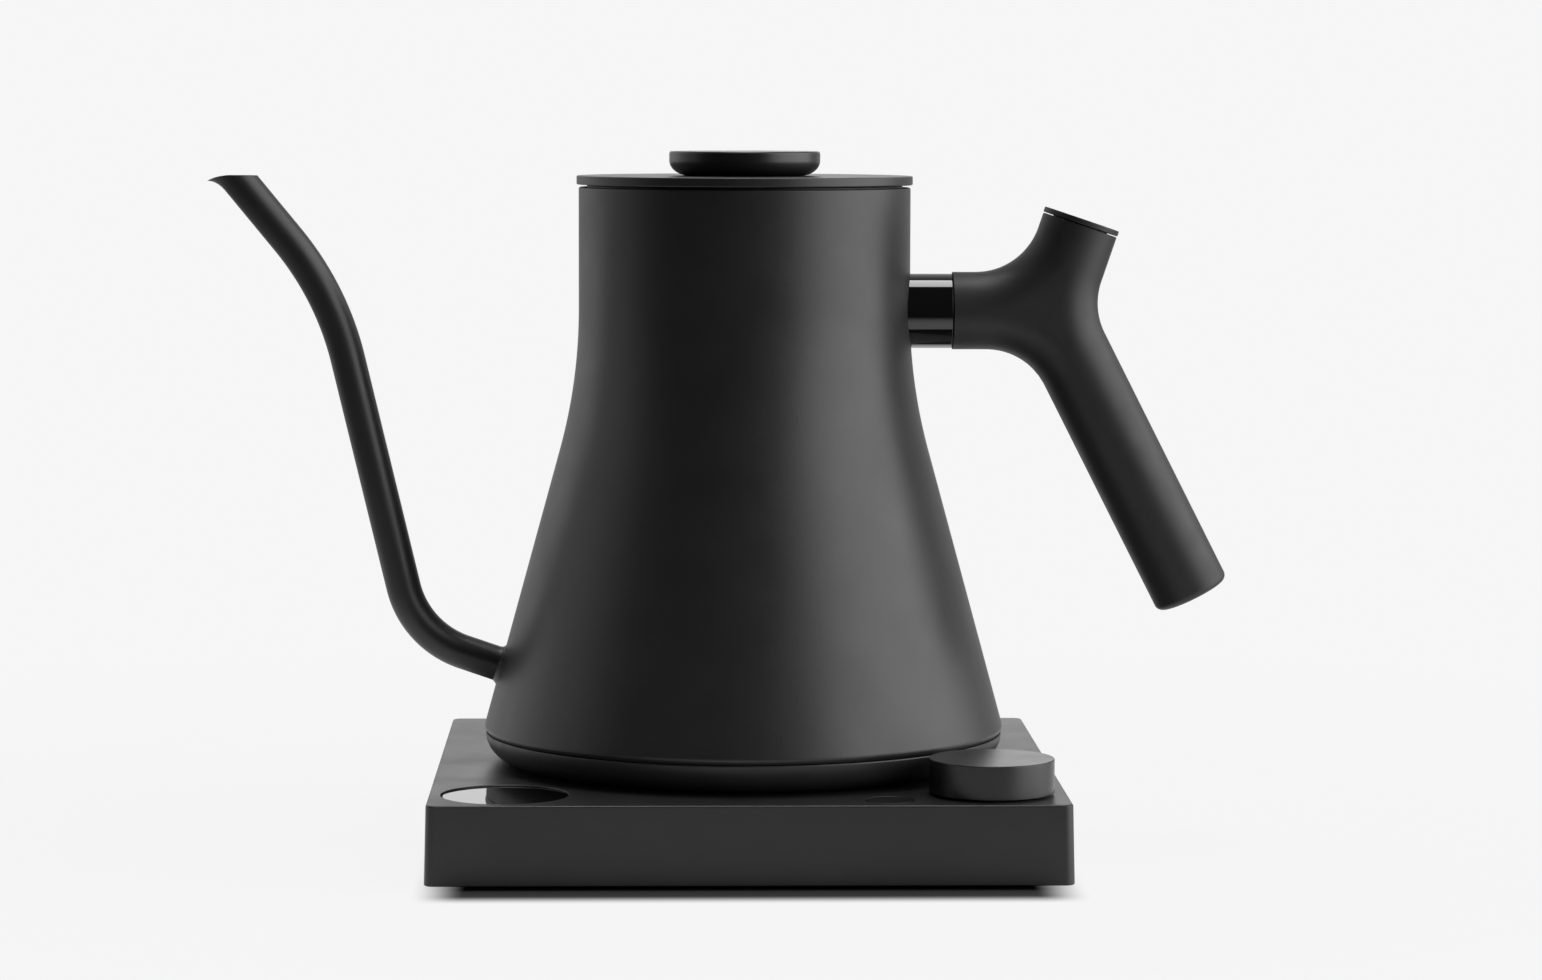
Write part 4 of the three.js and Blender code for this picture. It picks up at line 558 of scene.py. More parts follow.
def make_skirt():
    """The dark ring that closes the kettle's bottom, down to its flat underside."""
    kettle = sizes("kettle_sizes")
    lo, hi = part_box("kettle_skirt")
    foot_edge = BASE_TOP + kettle.foot_height - kettle.foot_round * math.sin(kettle.foot_wrap)
    top = foot_edge - kettle.skirt_seam
    top_radius = half_width("kettle_skirt")
    tuck, drop, edge = kettle.skirt_tuck, top - lo.z, 0.3 * MM
    wall, shoulder = 2 * MM, 2.2 * MM
    opening = half_width("coupler_housing") + FIT_GAP
    steps = 14
    turns = [QUARTER_TURN * (i / steps - 1) for i in range(steps)]
    bowl = [(top_radius - tuck + tuck * math.cos(t), top + drop * math.sin(t)) for t in turns]
    lip = [(top_radius, top - edge), (top_radius - edge / 2, top)]
    inner = top_radius - shoulder
    profile = [
        (opening, lo.z + edge), (opening + edge, lo.z), *bowl, *lip, (inner, top), (inner, hi.z),
        (inner - wall, hi.z), (inner - wall, lo.z + wall), (opening, lo.z + wall),
    ]
    skirt = turned("kettle_skirt_ring", profile)
    fit_out(skirt, "kettle", "dark_plastic", "kettle_skirt")


def make_lid():
    kettle = sizes("kettle_sizes")
    lo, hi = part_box("lid_disc")
    edge = kettle.lid_round
    lower = quarter(LID_RADIUS - edge, lo.z + edge, edge, -1)
    upper = quarter(LID_RADIUS - edge, hi.z - edge, edge)
    disc = turned("lid_cover", [(0, lo.z), *lower, *upper, (0, hi.z)])
    fit_out(disc, "lid", "matte_coat", "lid_disc")


def make_lid_plug():
    lo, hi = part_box("lid_plug")
    radius, edge, wall = half_width("lid_plug"), 1 * MM, 1.2 * MM
    seal_low, seal_high = low("lid_seal").z, high("lid_seal").z
    groove = radius - 0.9 * MM
    inner, post, bore = groove - wall, 5 * MM, 2.3 * MM
    profile = [
        (bore, lo.z), *quarter(radius - edge, lo.z + edge, edge, -1), (radius, seal_low - FIT_GAP),
        (groove, seal_low - FIT_GAP), (groove, seal_high + FIT_GAP), (radius, seal_high + FIT_GAP),
        (radius, hi.z), (inner, hi.z), (inner, lo.z + wall), (post, lo.z + wall), (post, hi.z),
        (bore, hi.z),
    ]
    plug = turned("lid_plug_cup", profile)
    fit_out(plug, "lid", "dark_plastic", "lid_plug")
    outer, half = half_width("lid_seal"), (seal_high - seal_low) / 2
    bead = arc(outer - half, seal_low + half, half, -QUARTER_TURN, QUARTER_TURN, 12)
    seat = groove + FIT_GAP
    ring = turned("lid_seal_ring", [(seat, seal_low), *bead, (seat, seal_high)])
    fit_out(ring, "lid", "silicone", "lid_seal")


def make_knob():
    kettle = sizes("kettle_sizes")
    radius, top = half_width("lid_knob"), high("lid_knob").z
    bottom = high("lid_disc").z
    tuck, tall, edge = kettle.knob_tuck, kettle.knob_tuck_height, kettle.knob_round
    steps = 16
    turns = [QUARTER_TURN * i / steps for i in range(steps + 1)]
    bowl = [(radius - tuck + tuck * math.sin(t), bottom + tall * (1 - math.cos(t))) for t in turns]
    profile = [(0, bottom), *bowl, *quarter(radius - edge, top - edge, edge, 0, 8), (0, top)]
    knob = turned("lid_knob_puck", profile)
    fit_out(knob, "lid", "satin_black", "lid_knob")


# ------------------------------------------------------------------ spout

FAR = 0.3  # larger than the spout's reach
LIP_OVERRUN = 1.4  # how far past the mouth the lip's curve is carried on


def bend_points(before, corner, after, radius, steps):
    """Points round one bend between two straight lengths."""
    back, forward = (before - corner).normalized(), (after - corner).normalized()
    half = back.angle(forward) / 2
    centre = corner + (back + forward).normalized() * radius / math.sin(half)
    start = corner + back * radius / math.tan(half) - centre
    end = corner + forward * radius / math.tan(half) - centre
    axis, turn = start.cross(end).normalized(), start.angle(end)
    return [centre + Matrix.Rotation(turn * i / steps, 3, axis) @ start for i in range(steps + 1)]


def straight_points(start, end, steps):
    """Points between the ends of a straight length."""
    return [start.lerp(end, i / steps) for i in range(1, steps)]


def spout_line(spout, kettle):
    """The spout's middle line, from inside the body to past the mouth."""
    mouth = high("spout").z
    knee = Vector((-(kettle.foot_radius + spout.knee_out), 0, BASE_TOP + spout.knee_height))
    neck_z = mouth - spout.mouth_drop
    neck = Vector((knee.x - (neck_z - knee.z) * math.tan(spout.lean), 0, neck_z))
    inward = -knee.x - body_radius(kettle, knee.z) + 2 * SPOUT_RADIUS
    root = knee + Vector((inward, 0, -inward * math.tan(spout.root_slope)))
    past = spout.mouth_drop + 2 * SPOUT_RADIUS
    tip = neck + Vector((-past * math.tan(spout.mouth_lean), 0, past))
    lower = bend_points(root, knee, neck, spout.knee_bend, 28)
    upper = bend_points(knee, neck, tip, spout.neck_bend, 24)
    start = straight_points(root, lower[0], 30)
    long = straight_points(lower[-1], upper[0], 20)
    end = straight_points(upper[-1], tip, 40)
    return [root, *start, *lower, *long, *upper, *end, tip]


def spout_rings(spout, kettle, radius, flare):
    """Rings along the spout, with its lip and, outside, the smoothed weld at the body."""
    line = spout_line(spout, kettle)
    mouth, across = high("spout").z, Vector((0, 1, 0))
    rings = []
    for i, point in enumerate(line):
        along = (line[min(i + 1, len(line) - 1)] - line[max(i - 1, 0)]).normalized()
        outward = along.cross(across).normalized()
        ring = []
        for k in range(SMALL_ROUND):
            turn = 2 * math.pi * k / SMALL_ROUND
            reach = radius
            if flare:
                probe = point + outward * radius * math.cos(turn) + across * radius * math.sin(turn)
                off = math.hypot(probe.x, probe.y) - body_radius(kettle, probe.z)
                near = max(0.0, 1 - max(off, 0) / spout.weld)
                reach += spout.weld * near ** 3
            at = point + outward * reach * math.cos(turn) + across * reach * math.sin(turn)
            flared = min(LIP_OVERRUN, max(0.0, 1 - (mouth - at.z) / spout.lip_length))
            at.x -= spout.lip * flared ** 2 * max(0.0, math.cos(turn)) ** 2
            ring.append(at)
        rings.append(ring)
    return rings


def bend_lip_tip(tube, spout, mouth):
    """Bends the tip of the pouring lip down."""
    tip = min(vertex.co.x for vertex in tube.data.vertices)
    for vertex in tube.data.vertices:
        outward = 1 - (vertex.co.x - tip) / spout.droop_length
        upward = 1 - (mouth - vertex.co.z) / spout.droop_length
        if outward > 0 and upward > 0:
            vertex.co.z -= spout.droop * outward ** 2 * upward


def make_spout():
    spout, kettle = sizes("spout_sizes"), sizes("kettle_sizes")
    mouth = high("spout").z
    tube = loft("spout_tube", spout_rings(spout, kettle, SPOUT_RADIUS, True))
    bore = loft("spout_bore", spout_rings(spout, kettle, SPOUT_RADIUS - spout.wall, False))
    slab = loft("above_mouth", [square_ring(FAR, MM, z) for z in (mouth, mouth + FAR)])
    subtract(tube, [bore, slab])
    bend_lip_tip(tube, spout, mouth)
    fit_out(tube, "kettle", "matte_coat", "spout")


# ------------------------------------------------------------------ handle

CLOSE = 1e-8  # how closely the blend between two branches is found


class HandleShape:
    """Three round branches in one plane, blended in their corners."""

    def __init__(self):
        self.sizes = sizes("handle_sizes")
        kettle = sizes("kettle_sizes")
        self.radius = HANDLE_RADIUS
        self.stub_end = COLLAR_END + FIT_GAP
        self.meeting = Vector((kettle.neck_radius + self.sizes.reach, 0, COLLAR_HEIGHT))
        top, grip = self.sizes.top_lean, self.sizes.grip_lean
        self.top = Vector((math.sin(top), 0, math.cos(top)))
        self.grip = Vector((math.sin(grip), 0, -math.cos(grip)))
        stub = Vector((-1, 0, 0))
        self.outer = self.blend(self.top, self.grip)
        self.left = [self.blend(self.top, stub), self.blend(self.grip, stub)]

    def blend(self, one, other):
        """Centre of a corner's arc and the directions from it to both branches."""
        half = one.angle(other) / 2
        reach = (self.radius + self.sizes.blend) / math.sin(half)
        offset = (one + other).normalized() * reach
        ways = [(offset.project(branch) - offset).normalized() for branch in (one, other)]
        return self.meeting + offset, *ways

    def depth(self, corner, point, inward):
        """Distance from a point inside the handle to one corner's side."""
        centre, one, other = corner
        offset = point - centre
        spread = one.angle(other)
        in_fan = offset.angle(one) <= spread and offset.angle(other) <= spread
        distance = offset.length if in_fan else max(offset.dot(one), offset.dot(other))
        return distance - self.sizes.blend - inward

    def left_depth(self, point, inward):
        return min(self.depth(corner, point, inward) for corner in self.left)

    def ring(self, way, shift, inward):
        """One ring on the line that leaves the outer corner in a direction."""
        radius = self.radius - inward
        start = self.outer[0] + way * (self.sizes.blend + inward) + shift

        def inside(distance):
            point = start + way * distance
            return self.left_depth(point, inward) > 0 and point.x > self.stub_end + inward

        near = far = radius
        while inside(far) and far < 20 * radius:
            near, far = far, far + radius / 4
        while far - near > CLOSE:
            half = (near + far) / 2
            near, far = (half, far) if inside(half) else (near, half)
        steps = 40
        side = []
        for i in range(steps + 1):
            distance = far / 2 * (1 - math.cos(math.pi * i / steps))
            point = start + way * distance
            depth = min(max(min(distance, self.left_depth(point, inward)), 0), radius)
            side.append((point, math.sqrt(max(0, radius ** 2 - (radius - depth) ** 2))))
        front = [Vector((p.x, -t, p.z)) for p, t in side]
        back = [Vector((p.x, t, p.z)) for p, t in reversed(side[1:-1])]
        last, thickness = side[-1]
        return [*front, Vector((last.x, thickness, last.z)), *back]

    def fan_turns(self):
        """Turns round the outer corner, with the two edges of the collar's end among them."""
        centre, start, end = self.outer
        axis, total = start.cross(end).normalized(), start.angle(end)
        steps = 72
        turns = [total * i / steps for i in range(steps + 1)]
        for side in (1, -1):
            edge = Vector((self.stub_end, 0, self.meeting.z + side * self.radius)) - centre
            turns += [start.angle(edge) + slip for slip in (-1e-4, 1e-4)]
        return [Matrix.Rotation(t, 3, axis) @ start for t in sorted(turns)]

    def rings(self):
        reach = (self.radius + self.sizes.blend) / math.tan(self.top.angle(self.grip) / 2)
        top_length = self.sizes.top_length - self.sizes.cap_thickness - self.sizes.cap_seam - reach
        grip_length, edge = self.sizes.grip_length - reach, self.sizes.grip_round
        zero, seam_edge = Vector(), 0.2 * MM
        _, top_side, grip_side = self.outer
        made = [self.ring(top_side, self.top * top_length, seam_edge)]
        top_run, grip_run = self.top * (top_length - seam_edge), self.grip * (grip_length - edge)
        top_steps, grip_steps, end_steps = 16, 30, 8
        made += [self.ring(top_side, top_run * (1 - i / top_steps), 0) for i in range(top_steps)]
        made += [self.ring(way, zero, 0) for way in self.fan_turns()]
        made += [self.ring(grip_side, grip_run * i / grip_steps, 0) for i in range(1, grip_steps + 1)]
        for i in range(1, end_steps + 1):
            turn = QUARTER_TURN * i / end_steps
            length_here = grip_length - edge * (1 - math.sin(turn))
            made.append(self.ring(grip_side, self.grip * length_here, edge * (1 - math.cos(turn))))
        return made


def make_handle():
    shell = loft("handle_grip", HandleShape().rings())
    fit_out(shell, "kettle", "soft_black", "handle_shell")


def make_handle_cap():
    shape = HandleShape()
    thick, edge = shape.sizes.cap_thickness, 0.25 * MM
    place = shape.meeting + shape.top * (shape.sizes.top_length - thick)
    overhang, deep, inset = 0.1 * MM, 3 * MM, 3 * MM
    radius = shape.radius + overhang
    rounded = quarter(radius - edge, edge, edge, -1, 4) + quarter(radius - edge, thick - edge, edge, 0, 4)
    spigot = radius - inset
    profile = [(0, -deep), (spigot, -deep), (spigot, 0), *rounded, (0, thick)]
    cap = turned("handle_end_cap", profile, place, SMALL_ROUND, shape.top)
    fit_out(cap, "kettle", "soft_black", "handle_cap")


def make_grip_plug():
    shape = HandleShape()
    radius, edge, deep = 7.1 * MM, 0.2 * MM, 7 * MM
    crown, sink = 0.1 * MM, 0.15 * MM
    rounded = quarter(radius - edge, crown - edge, edge, 0, 3)
    place = shape.meeting + shape.grip * (shape.sizes.grip_length - sink)
    profile = [(0, -deep), (radius, -deep), *rounded, (0, crown)]
    plug = turned("grip_end_plug", profile, place, SMALL_ROUND, shape.grip)
    fit_out(plug, "kettle", "soft_black", "grip_plug")


def make_collar():
    """The polished sleeve, shaped to the neck at one end."""
    kettle = sizes("kettle_sizes")
    radius, edge = (high("handle_collar").y - low("handle_collar").y) / 2, 0.25 * MM
    sink, wall = 0.15 * MM, 1.5 * MM

    def ring(reach, at):
        made = []
        for k in range(SMALL_ROUND * 2):
            turn = math.pi * k / SMALL_ROUND
            y, z = reach * math.cos(turn), COLLAR_HEIGHT + reach * math.sin(turn)
            made.append(Vector((at(y, z), y, z)))
        return made

    def on_neck(y, z):
        return math.sqrt(body_radius(kettle, z) ** 2 - y ** 2) - sink

    def between(t):
        return lambda y, z: on_neck(y, z) * (1 - t) + (COLLAR_END - edge) * t

    def flat(x):
        return lambda y, z: x

    steps, edge_steps = 9, 4
    rings = [ring(radius - wall, on_neck), ring(radius, on_neck)]
    rings += [ring(radius, between(i / steps)) for i in range(1, steps)]
    for i in range(edge_steps + 1):
        turn = QUARTER_TURN * i / edge_steps
        x = COLLAR_END - edge * (1 - math.sin(turn))
        rings.append(ring(radius - edge * (1 - math.cos(turn)), flat(x)))
    collar = loft("handle_collar_sleeve", rings)
    fit_out(collar, "kettle", "gloss_black", "handle_collar")


# ------------------------------------------------------------------ base

DOCK_UNDERCUT = 1.6 * MM  # how far the kettle's connector reaches past the dock's hole
KEY_FLANGE = 0.75 * MM  # how wide the key's flange is


def key_radius():
    return half_width("hold_button") - KEY_FLANGE


def drill(name, radius, bottom, edge, place, flats=ROUND):
    """A cutter for a hole in the base's top, bevelled at its mouth."""
    wide, over = radius + edge, BASE_TOP + 2 * MM
    profile = [(0, bottom), (radius, bottom), (radius, BASE_TOP - edge), (wide, BASE_TOP),
               (wide, over), (0, over)]
    return turned(name, profile, (place.x, place.y, 0), flats)


def base_cutters(base, outline, half, bottom):
    """The hollow inside the casing and the openings in its top and its rear wall."""
    over = 5 * MM
    roof = BASE_TOP - base.roof
    under_roof = roof - over
    dial_bore = 4.8 * MM
    pocket_floor = low("display_lens").z - FIT_GAP
    dock_radius = half_width("coupler_housing") - DOCK_UNDERCUT
    gland, gland_bore, gland_cut = middle("cord_gland"), 5.5 * MM, 20 * MM
    through_rear = [(0, -gland_cut), (gland_bore, -gland_cut), (gland_bore, gland_cut), (0, gland_cut)]
    return [
        loft("hollow", [outline(bottom - over, base.wall), outline(roof, base.wall)]),
        drill("display_pocket", half_width("display_lens") + base.display_gap, pocket_floor,
              0.18 * MM, middle("display_lens")),
        drill("dial_hole", dial_bore, under_roof, 0.1 * MM, middle("dial_knob"), SMALL_ROUND),
        drill("button_hole", key_radius() + base.button_gap, under_roof, 0.15 * MM,
              middle("hold_button")),
        drill("dock_hole", dock_radius, under_roof, base.hole_edge, Vector()),
        turned("gland_hole", through_rear, (gland.x, half, gland.z), SMALL_ROUND, (0, 1, 0)),
    ]


def make_base():
    base = sizes("base_sizes")
    half = (high("base_housing").x - low("base_housing").x) / 2 - base.draft
    bottom = low("base_housing").z
    tall = BASE_TOP - bottom

    def outline(height, inset=0.0):
        wide = half + base.draft * (BASE_TOP - height) / tall - inset
        return square_ring(wide, max(base.corner - inset, least_corner), height)

    least_corner, chamfer = 0.5 * MM, 0.25 * MM
    edge, steps = base.edge, 6
    rings = [outline(bottom, chamfer), outline(bottom + chamfer), outline(BASE_TOP - edge)]
    for i in range(1, steps + 1):
        turn = QUARTER_TURN * i / steps
        rings.append(outline(BASE_TOP - edge * (1 - math.sin(turn)), edge * (1 - math.cos(turn))))
    shell = loft("base_casing", rings)
    subtract(shell, base_cutters(base, outline, half, bottom))
    fit_out(shell, "base", "matte_coat", "base_housing")


def make_display():
    lo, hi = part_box("display_lens")
    place, radius, edge = middle("display_lens"), half_width("display_lens"), 0.22 * MM
    profile = [(0, lo.z), (radius, lo.z), (radius, hi.z - edge), (radius - edge, hi.z), (0, hi.z)]
    lens = turned("display_window", profile, (place.x, place.y, 0))
    fit_out(lens, "base", "display_glass", "display_lens")


def make_dial():
    base = sizes("base_sizes")
    lo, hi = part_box("dial_knob")
    place, radius, edge, wall = middle("dial_knob"), half_width("dial_knob"), base.dial_edge, 2 * MM
    inner, bevel = radius - wall, edge / 2
    profile = [
        (0, hi.z - wall), (inner, hi.z - wall), (inner, lo.z + bevel), (inner + bevel, lo.z),
        (radius - bevel, lo.z), (radius, lo.z + bevel),
        *quarter(radius - edge, hi.z - edge, edge, 0, 6), (0, hi.z),
    ]
    dial = turned("dial_cap", profile, (place.x, place.y, 0))
    fit_out(dial, "dial", "satin_black", "dial_knob")


def make_button():
    base = sizes("base_sizes")
    lo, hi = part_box("hold_button")
    place, flange = middle("hold_button"), half_width("hold_button")
    radius, edge, stem = key_radius(), 0.15 * MM, 2 * MM
    flange_top = BASE_TOP - FLANGE_DROP
    flange_low = flange_top - 1 * MM
    dish_radius, steps = 0.86 * radius, 12
    shares = [1 - i / steps for i in range(steps + 1)]
    hollow = [(dish_radius * t, hi.z - base.button_dish * (1 - t ** 2)) for t in shares]
    profile = [
        (0, lo.z), (stem, lo.z), (stem, flange_low), (flange, flange_low), (flange, flange_top),
        (radius, flange_top), *quarter(radius - edge, hi.z - edge, edge, 0, 4), *hollow,
    ]
    button = turned("hold_key", profile, (place.x, place.y, 0))
    fit_out(button, "button", "satin_black", "hold_button")


def make_feet():
    base = sizes("base_sizes")
    for corner in ("front_left", "front_right", "rear_right", "rear_left"):
        node = f"foot_{corner}"
        lo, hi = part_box(node)
        place, radius, edge = middle(node), half_width(node), base.foot_edge
        profile = [(0, lo.z), *quarter(radius - edge, lo.z + edge, edge, -1, 4), (radius, hi.z), (0, hi.z)]
        pad = turned(f"foot_pad_{corner}", profile, (place.x, place.y, 0), SMALL_ROUND)
        fit_out(pad, "base", "rubber", node)


def make_dock():
    """The dock's post, with a hole for the live pin and a groove for the neutral ring."""
    lo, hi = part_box("dock_housing")
    flange, rim = half_width("dock_housing"), half_width("dock_housing") - 4 * MM
    band_wall = 0.7 * MM
    pillar = half_width("dock_earth_band") - band_wall - FIT_GAP
    flange_top, floor = BASE_TOP - FLANGE_DROP, lo.z + 2 * MM
    flange_low = flange_top - 2 * MM
    pin, groove_in, groove_out, edge = 3 * MM, 8.3 * MM, 10.3 * MM, 0.8 * MM
    soft = 0.25 * MM
    profile = [
        (0, lo.z), (rim, lo.z), (rim, flange_low), (flange, flange_low), (flange, flange_top),
        (rim, flange_top), *quarter(rim - soft, BASE_TOP - soft, soft, 0, 3), (pillar, BASE_TOP),
        *quarter(pillar - edge, hi.z - edge, edge, 0, 6),
        (groove_out + soft, hi.z), (groove_out, hi.z - soft), (groove_out, floor),
        (groove_in, floor), (groove_in, hi.z - soft), (groove_in - soft, hi.z),
        (pin + soft, hi.z), (pin, hi.z - soft), (pin, floor), (0, floor),
    ]
    dock = turned("dock_post", profile)
    fit_out(dock, "base", "dark_plastic", "dock_housing")
    band_lo, band_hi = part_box("dock_earth_band")
    outer, soft = half_width("dock_earth_band"), 0.15 * MM
    inner = outer - band_wall
    profile = [(inner, band_lo.z), *quarter(outer - soft, band_lo.z + soft, soft, -1, 3),
               *quarter(outer - soft, band_hi.z - soft, soft, 0, 3), (inner, band_hi.z)]
    band = turned("dock_earth_sleeve", profile)
    fit_out(band, "base", "steel", "dock_earth_band")


def make_gland():
    flange, bore, body, edge = half_width("cord_gland"), 3.5 * MM, 5.2 * MM, 0.5 * MM
    thick, deep = 1.5 * MM, 12 * MM
    place = Vector((0, high("cord_gland").y - thick, middle("cord_gland").z))
    profile = [
        (bore, -deep), (body, -deep), (body, 0), (flange, 0),
        *quarter(flange - edge, thick - edge, edge, 0, 4),
        *quarter(bore + edge, thick - edge, edge, 1, 4),
    ]
    gland = turned("cord_entry_gland", profile, place, SMALL_ROUND, (0, 1, 0))
    fit_out(gland, "base", "rubber", "cord_gland")


# ------------------------------------------------------------------ studio

def sky_nodes(world, studio):
    """Plain backdrop for the eye; soft boxes overhead and at the side for the light."""
    world.use_nodes = True
    tree = world.node_tree
    tree.nodes.clear()
    new, link = tree.nodes.new, tree.links.new
    output = new("ShaderNodeOutputWorld")
    sky, plain = new("ShaderNodeBackground"), new("ShaderNodeBackground")
    choose = new("ShaderNodeMixShader")
    plain.inputs["Color"].default_value = (*studio.backdrop, 1)
    way = new("ShaderNodeTexCoord").outputs["Generated"]

    def box(direction, start, end, strength):
        """Brightness that rises as the view turns from start to end degrees off a direction."""
        dot = new("ShaderNodeVectorMath")
        dot.operation = "DOT_PRODUCT"
        dot.inputs[1].default_value = Vector(direction).normalized()
        link(way, dot.inputs[0])
        ramp = new("ShaderNodeMapRange")
        ramp.interpolation_type = "SMOOTHSTEP"
        ramp.inputs["From Min"].default_value = math.cos(math.radians(start))
        ramp.inputs["From Max"].default_value = math.cos(math.radians(end))
        ramp.inputs["To Max"].default_value = strength
        link(dot.outputs["Value"], ramp.inputs["Value"])
        return ramp.outputs["Result"]

    total = None
    for source in LIGHT_BOXES:
        value = box(*source)
        if total is not None:
            add = new("ShaderNodeMath")
            add.operation = "ADD"
            link(total, add.inputs[0])
            link(value, add.inputs[1])
            value = add.outputs["Value"]
        total = value
    link(total, sky.inputs["Strength"])
    link(new("ShaderNodeLightPath").outputs["Is Camera Ray"], choose.inputs["Fac"])
    link(sky.outputs["Background"], choose.inputs[1])
    link(plain.outputs["Background"], choose.inputs[2])
    link(choose.outputs["Shader"], output.inputs["Surface"])


# Direction, where the glow starts and where it is full in degrees off it, and strength
LIGHT_BOXES = (
    ((0, 0, 1), 180, 179, 0.035),  # a faint fill from everywhere
    ((-0.1, 1, 0.1), 75, 25, 0.62),  # the pale backdrop behind
    ((0.04, 1, 0.17), 18, 8, 1.05),  # its brighter foot
    ((0, 0.09, 1), 16, 13.5, 7.5),  # the overhead box
    ((1, -0.2, 0.3), 52, 22, 3.6),  # the side box on the handle's side
    ((-1, 0.35, 0.3), 45, 20, 0.7),  # the weaker fill on the spout's side
)


def make_floor(studio):
    """A pale disc that melts into the backdrop at its edge, darkened by a painted shadow close to the
    base.
    """
    radius, level = studio.floor_radius, low("foot_front_left").z
    flats = 128
    turns = [2 * math.pi * i / flats for i in range(flats)]
    rim = [(radius * math.cos(t), radius * math.sin(t), level) for t in turns]
    faces = [(0, 1 + i, 1 + (i + 1) % flats) for i in range(flats)]
    floor = make_object("studio_floor", [(0, 0, level), *rim], faces)
    made = Nodes("pale_floor")
    tree, link = made.tree, made.link
    made.set("Base Color", (*studio.floor, 1))
    made.set("Roughness", 0.9)
    made.set("Specular IOR Level", 0.1)

    def ramp(source, start, end, first, last):
        node = tree.nodes.new("ShaderNodeMapRange")
        node.interpolation_type = "SMOOTHSTEP"
        for name, value in (("From Min", start), ("From Max", end), ("To Min", first), ("To Max", last)):
            node.inputs[name].default_value = value
        link(source, node.inputs["Value"])
        return node.outputs["Result"]

    def calculate(operation, *sources):
        node = tree.nodes.new("ShaderNodeMath")
        node.operation = operation
        for source, socket in zip(sources, node.inputs):
            if isinstance(source, (int, float)):
                socket.default_value = source
            else:
                link(source, socket)
        return node.outputs["Value"]

    place = tree.nodes.new("ShaderNodeSeparateXYZ")
    link(made.place, place.inputs[0])
    # Painted shadow: the floor's glow is dimmed by distance from the base's footprint, fully in a band
    # before and behind the base and less at its sides. It is painted, not cast.
    half = high("base_housing").x
    ahead = calculate("SUBTRACT", calculate("ABSOLUTE", place.outputs["Y"]), half)
    aside = calculate("SUBTRACT", calculate("ABSOLUTE", place.outputs["X"]), half)
    near = ramp(ahead, studio.painted_shadow_reach / 3, 0.9 * studio.painted_shadow_reach, 1, 0)
    painted_shadow_sides = ramp(aside, -studio.painted_shadow_reach / 2, studio.painted_shadow_reach / 6, 1, 0)
    shade = calculate("MULTIPLY", calculate("MULTIPLY", near, painted_shadow_sides), studio.painted_shadow_depth)
    # The floor's even glow, with the painted shadow taken out of it
    glow = tree.nodes.new("ShaderNodeEmission")
    link(calculate("SUBTRACT", 1, shade), glow.inputs["Strength"])
    glow.inputs["Color"].default_value = (*studio.backdrop, 1)
    lit = tree.nodes.new("ShaderNodeMixShader")
    lit.inputs["Fac"].default_value = studio.floor_glow
    link(made.shader.outputs["BSDF"], lit.inputs[1])
    link(glow.outputs["Emission"], lit.inputs[2])
    distance = tree.nodes.new("ShaderNodeVectorMath")
    distance.operation = "LENGTH"
    link(made.place, distance.inputs[0])
    clear = tree.nodes.new("ShaderNodeBsdfTransparent")
    mix = tree.nodes.new("ShaderNodeMixShader")
    link(ramp(distance.outputs["Value"], 0.35 * radius, 0.98 * radius, 0, 1), mix.inputs["Fac"])
    link(lit.outputs["Shader"], mix.inputs[1])
    link(clear.outputs["BSDF"], mix.inputs[2])
    output = next(n for n in tree.nodes if n.type == "OUTPUT_MATERIAL")
    link(mix.outputs["Shader"], output.inputs["Surface"])
    floor.data.materials.append(made.material)


def make_camera(studio):
    data = bpy.data.cameras.new("studio_camera")
    data.lens = studio.lens
    data.sensor_width = 36
    data.clip_start = 0.05
    camera = bpy.data.objects.new("studio_camera", data)
    camera.location = (studio.camera_side, -studio.camera_back, BASE_TOP + studio.camera_rise)
    level = Euler((math.pi / 2 - studio.camera_pitch, 0, -studio.camera_yaw)).to_matrix()
    camera.rotation_euler = (level @ Matrix.Rotation(studio.camera_roll, 3, "Z")).to_euler()
    bpy.context.scene.collection.objects.link(camera)
    bpy.context.scene.camera = camera


# ------------------------------------------------------------------ operators

class KETTLE_OT_finishes(bpy.types.Operator):
    """Make every finish and give it to the pieces carried over from the frame"""

    bl_idname = "pour_kettle.finishes"
    bl_label = "Finishes"

    def execute(self, context):
        make_finishes()
        for row in frame["record"]["subparts"]:
            node = frame["nodes"][row["node"]]
            node.data.materials.clear()
            node.data.materials.append(finish_of(row["material_slot"]))
        return {"FINISHED"}


class KETTLE_OT_body(bpy.types.Operator):
    """Build the kettle's body and its skirt"""

    bl_idname = "pour_kettle.body"
    bl_label = "Body and Skirt"

    def execute(self, context):
        make_body()
        make_skirt()
        return {"FINISHED"}


class KETTLE_OT_spout(bpy.types.Operator):
    """Build the gooseneck spout"""

    bl_idname = "pour_kettle.spout"
    bl_label = "Spout"

    def execute(self, context):
        make_spout()
        return {"FINISHED"}


class KETTLE_OT_lid(bpy.types.Operator):
    """Build the lid, its knob, plug and seal"""

    bl_idname = "pour_kettle.lid"
    bl_label = "Lid"

    def execute(self, context):
        make_lid()
        make_lid_plug()
        make_knob()
        return {"FINISHED"}


class KETTLE_OT_handle(bpy.types.Operator):
    """Build the handle, its collar, cap and plug"""

    bl_idname = "pour_kettle.handle"
    bl_label = "Handle"

    def execute(self, context):
        make_handle()
        make_handle_cap()
        make_grip_plug()
        make_collar()
        return {"FINISHED"}


class KETTLE_OT_base(bpy.types.Operator):
    """Build the base's casing, feet and cord gland"""

    bl_idname = "pour_kettle.base"
    bl_label = "Base"

    def execute(self, context):
        make_base()
        make_feet()
        make_gland()
        return {"FINISHED"}


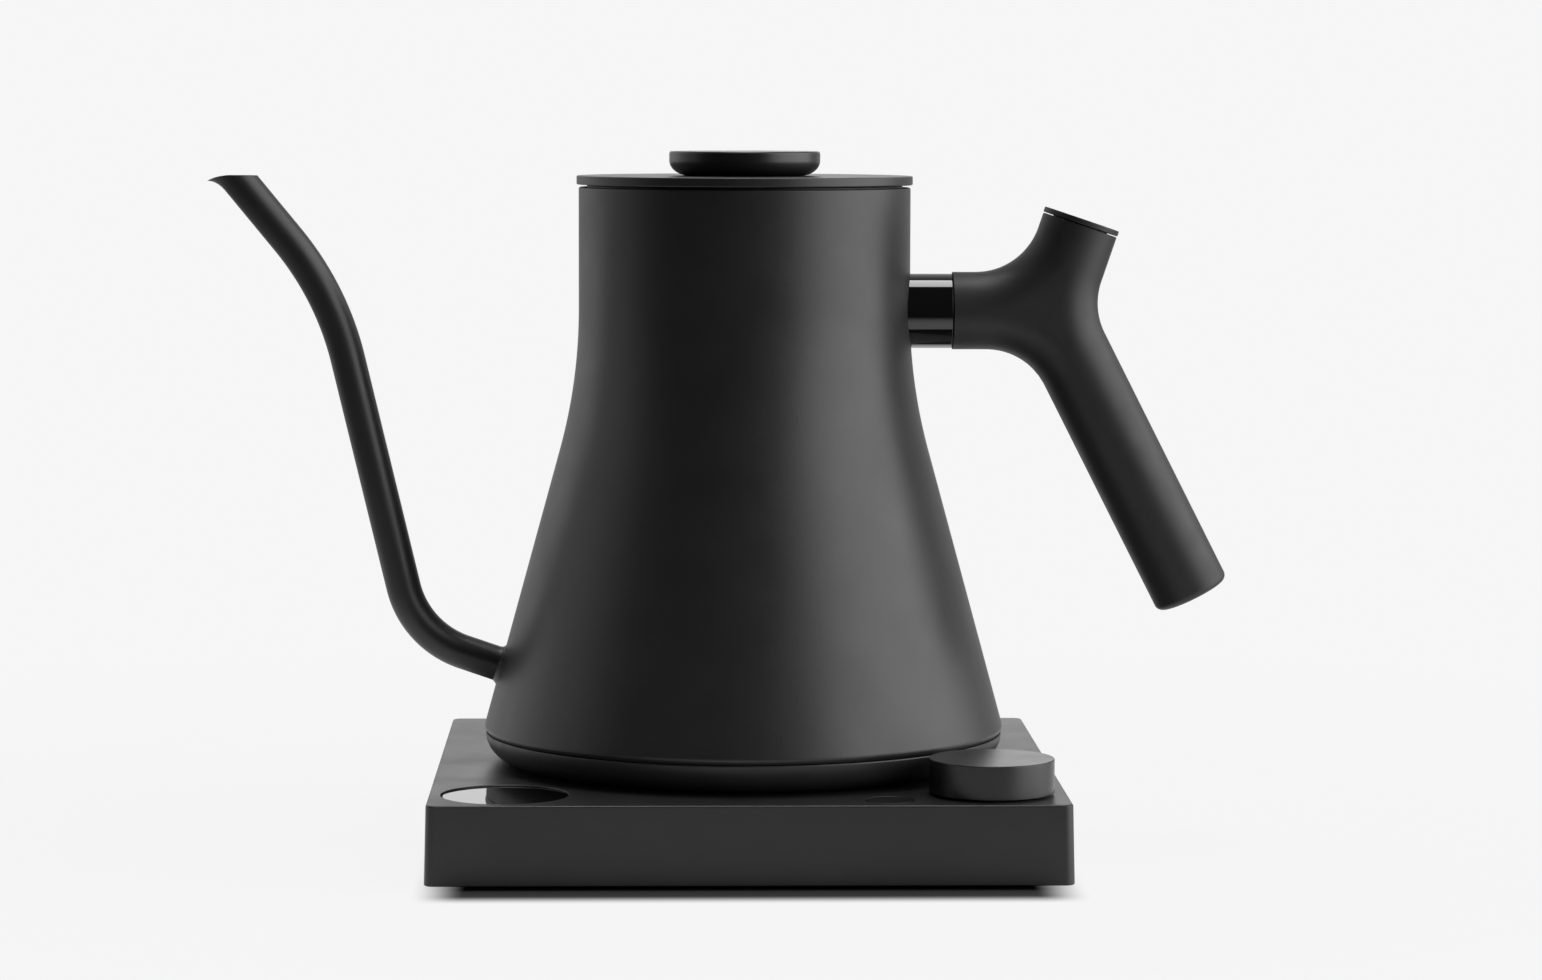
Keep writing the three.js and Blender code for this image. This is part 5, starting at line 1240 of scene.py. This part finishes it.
class KETTLE_OT_controls(bpy.types.Operator):
    """Build the display, the dial and the button"""

    bl_idname = "pour_kettle.controls"
    bl_label = "Controls"

    def execute(self, context):
        make_display()
        make_dial()
        make_button()
        return {"FINISHED"}


class KETTLE_OT_dock(bpy.types.Operator):
    """Build the dock that the kettle sits on"""

    bl_idname = "pour_kettle.dock"
    bl_label = "Dock"

    def execute(self, context):
        make_dock()
        return {"FINISHED"}


class KETTLE_OT_studio(bpy.types.Operator):
    """Set up the floor, the light and the camera"""

    bl_idname = "pour_kettle.studio"
    bl_label = "Studio"

    def execute(self, context):
        studio = sizes("kettle_studio")
        context.scene.view_settings.view_transform = "Standard"
        context.scene.world = context.scene.world or bpy.data.worlds.new("studio")
        sky_nodes(context.scene.world, studio)
        make_floor(studio)
        make_camera(studio)
        return {"FINISHED"}


STEPS = (
    KETTLE_OT_finishes, KETTLE_OT_body, KETTLE_OT_spout, KETTLE_OT_lid, KETTLE_OT_handle,
    KETTLE_OT_base, KETTLE_OT_controls, KETTLE_OT_dock, KETTLE_OT_studio,
)


class KETTLE_PT_panel(bpy.types.Panel):
    """The kettle's steps and sizes"""

    bl_label = "Kettle"
    bl_idname = "KETTLE_PT_panel"
    bl_space_type = "VIEW_3D"
    bl_region_type = "UI"
    bl_category = "Kettle"

    def draw(self, context):
        for step in STEPS:
            self.layout.operator(step.bl_idname)
        for name, group in GROUPS.items():
            box = self.layout.box()
            for prop in group.__annotations__:
                box.prop(getattr(context.scene, name), prop)


def register():
    for group in GROUPS.values():
        bpy.utils.register_class(group)
    for name, group in GROUPS.items():
        setattr(bpy.types.Scene, name, PointerProperty(type=group))
    for item in (*STEPS, KETTLE_PT_panel):
        bpy.utils.register_class(item)


def unregister():
    for item in (KETTLE_PT_panel, *reversed(STEPS)):
        bpy.utils.unregister_class(item)
    for name, group in GROUPS.items():
        delattr(bpy.types.Scene, name)
        bpy.utils.unregister_class(group)


def main():
    register()
    for step in STEPS:
        group, name = step.bl_idname.split(".")
        getattr(getattr(bpy.ops, group), name)()


if __name__ == "__main__":
    main()
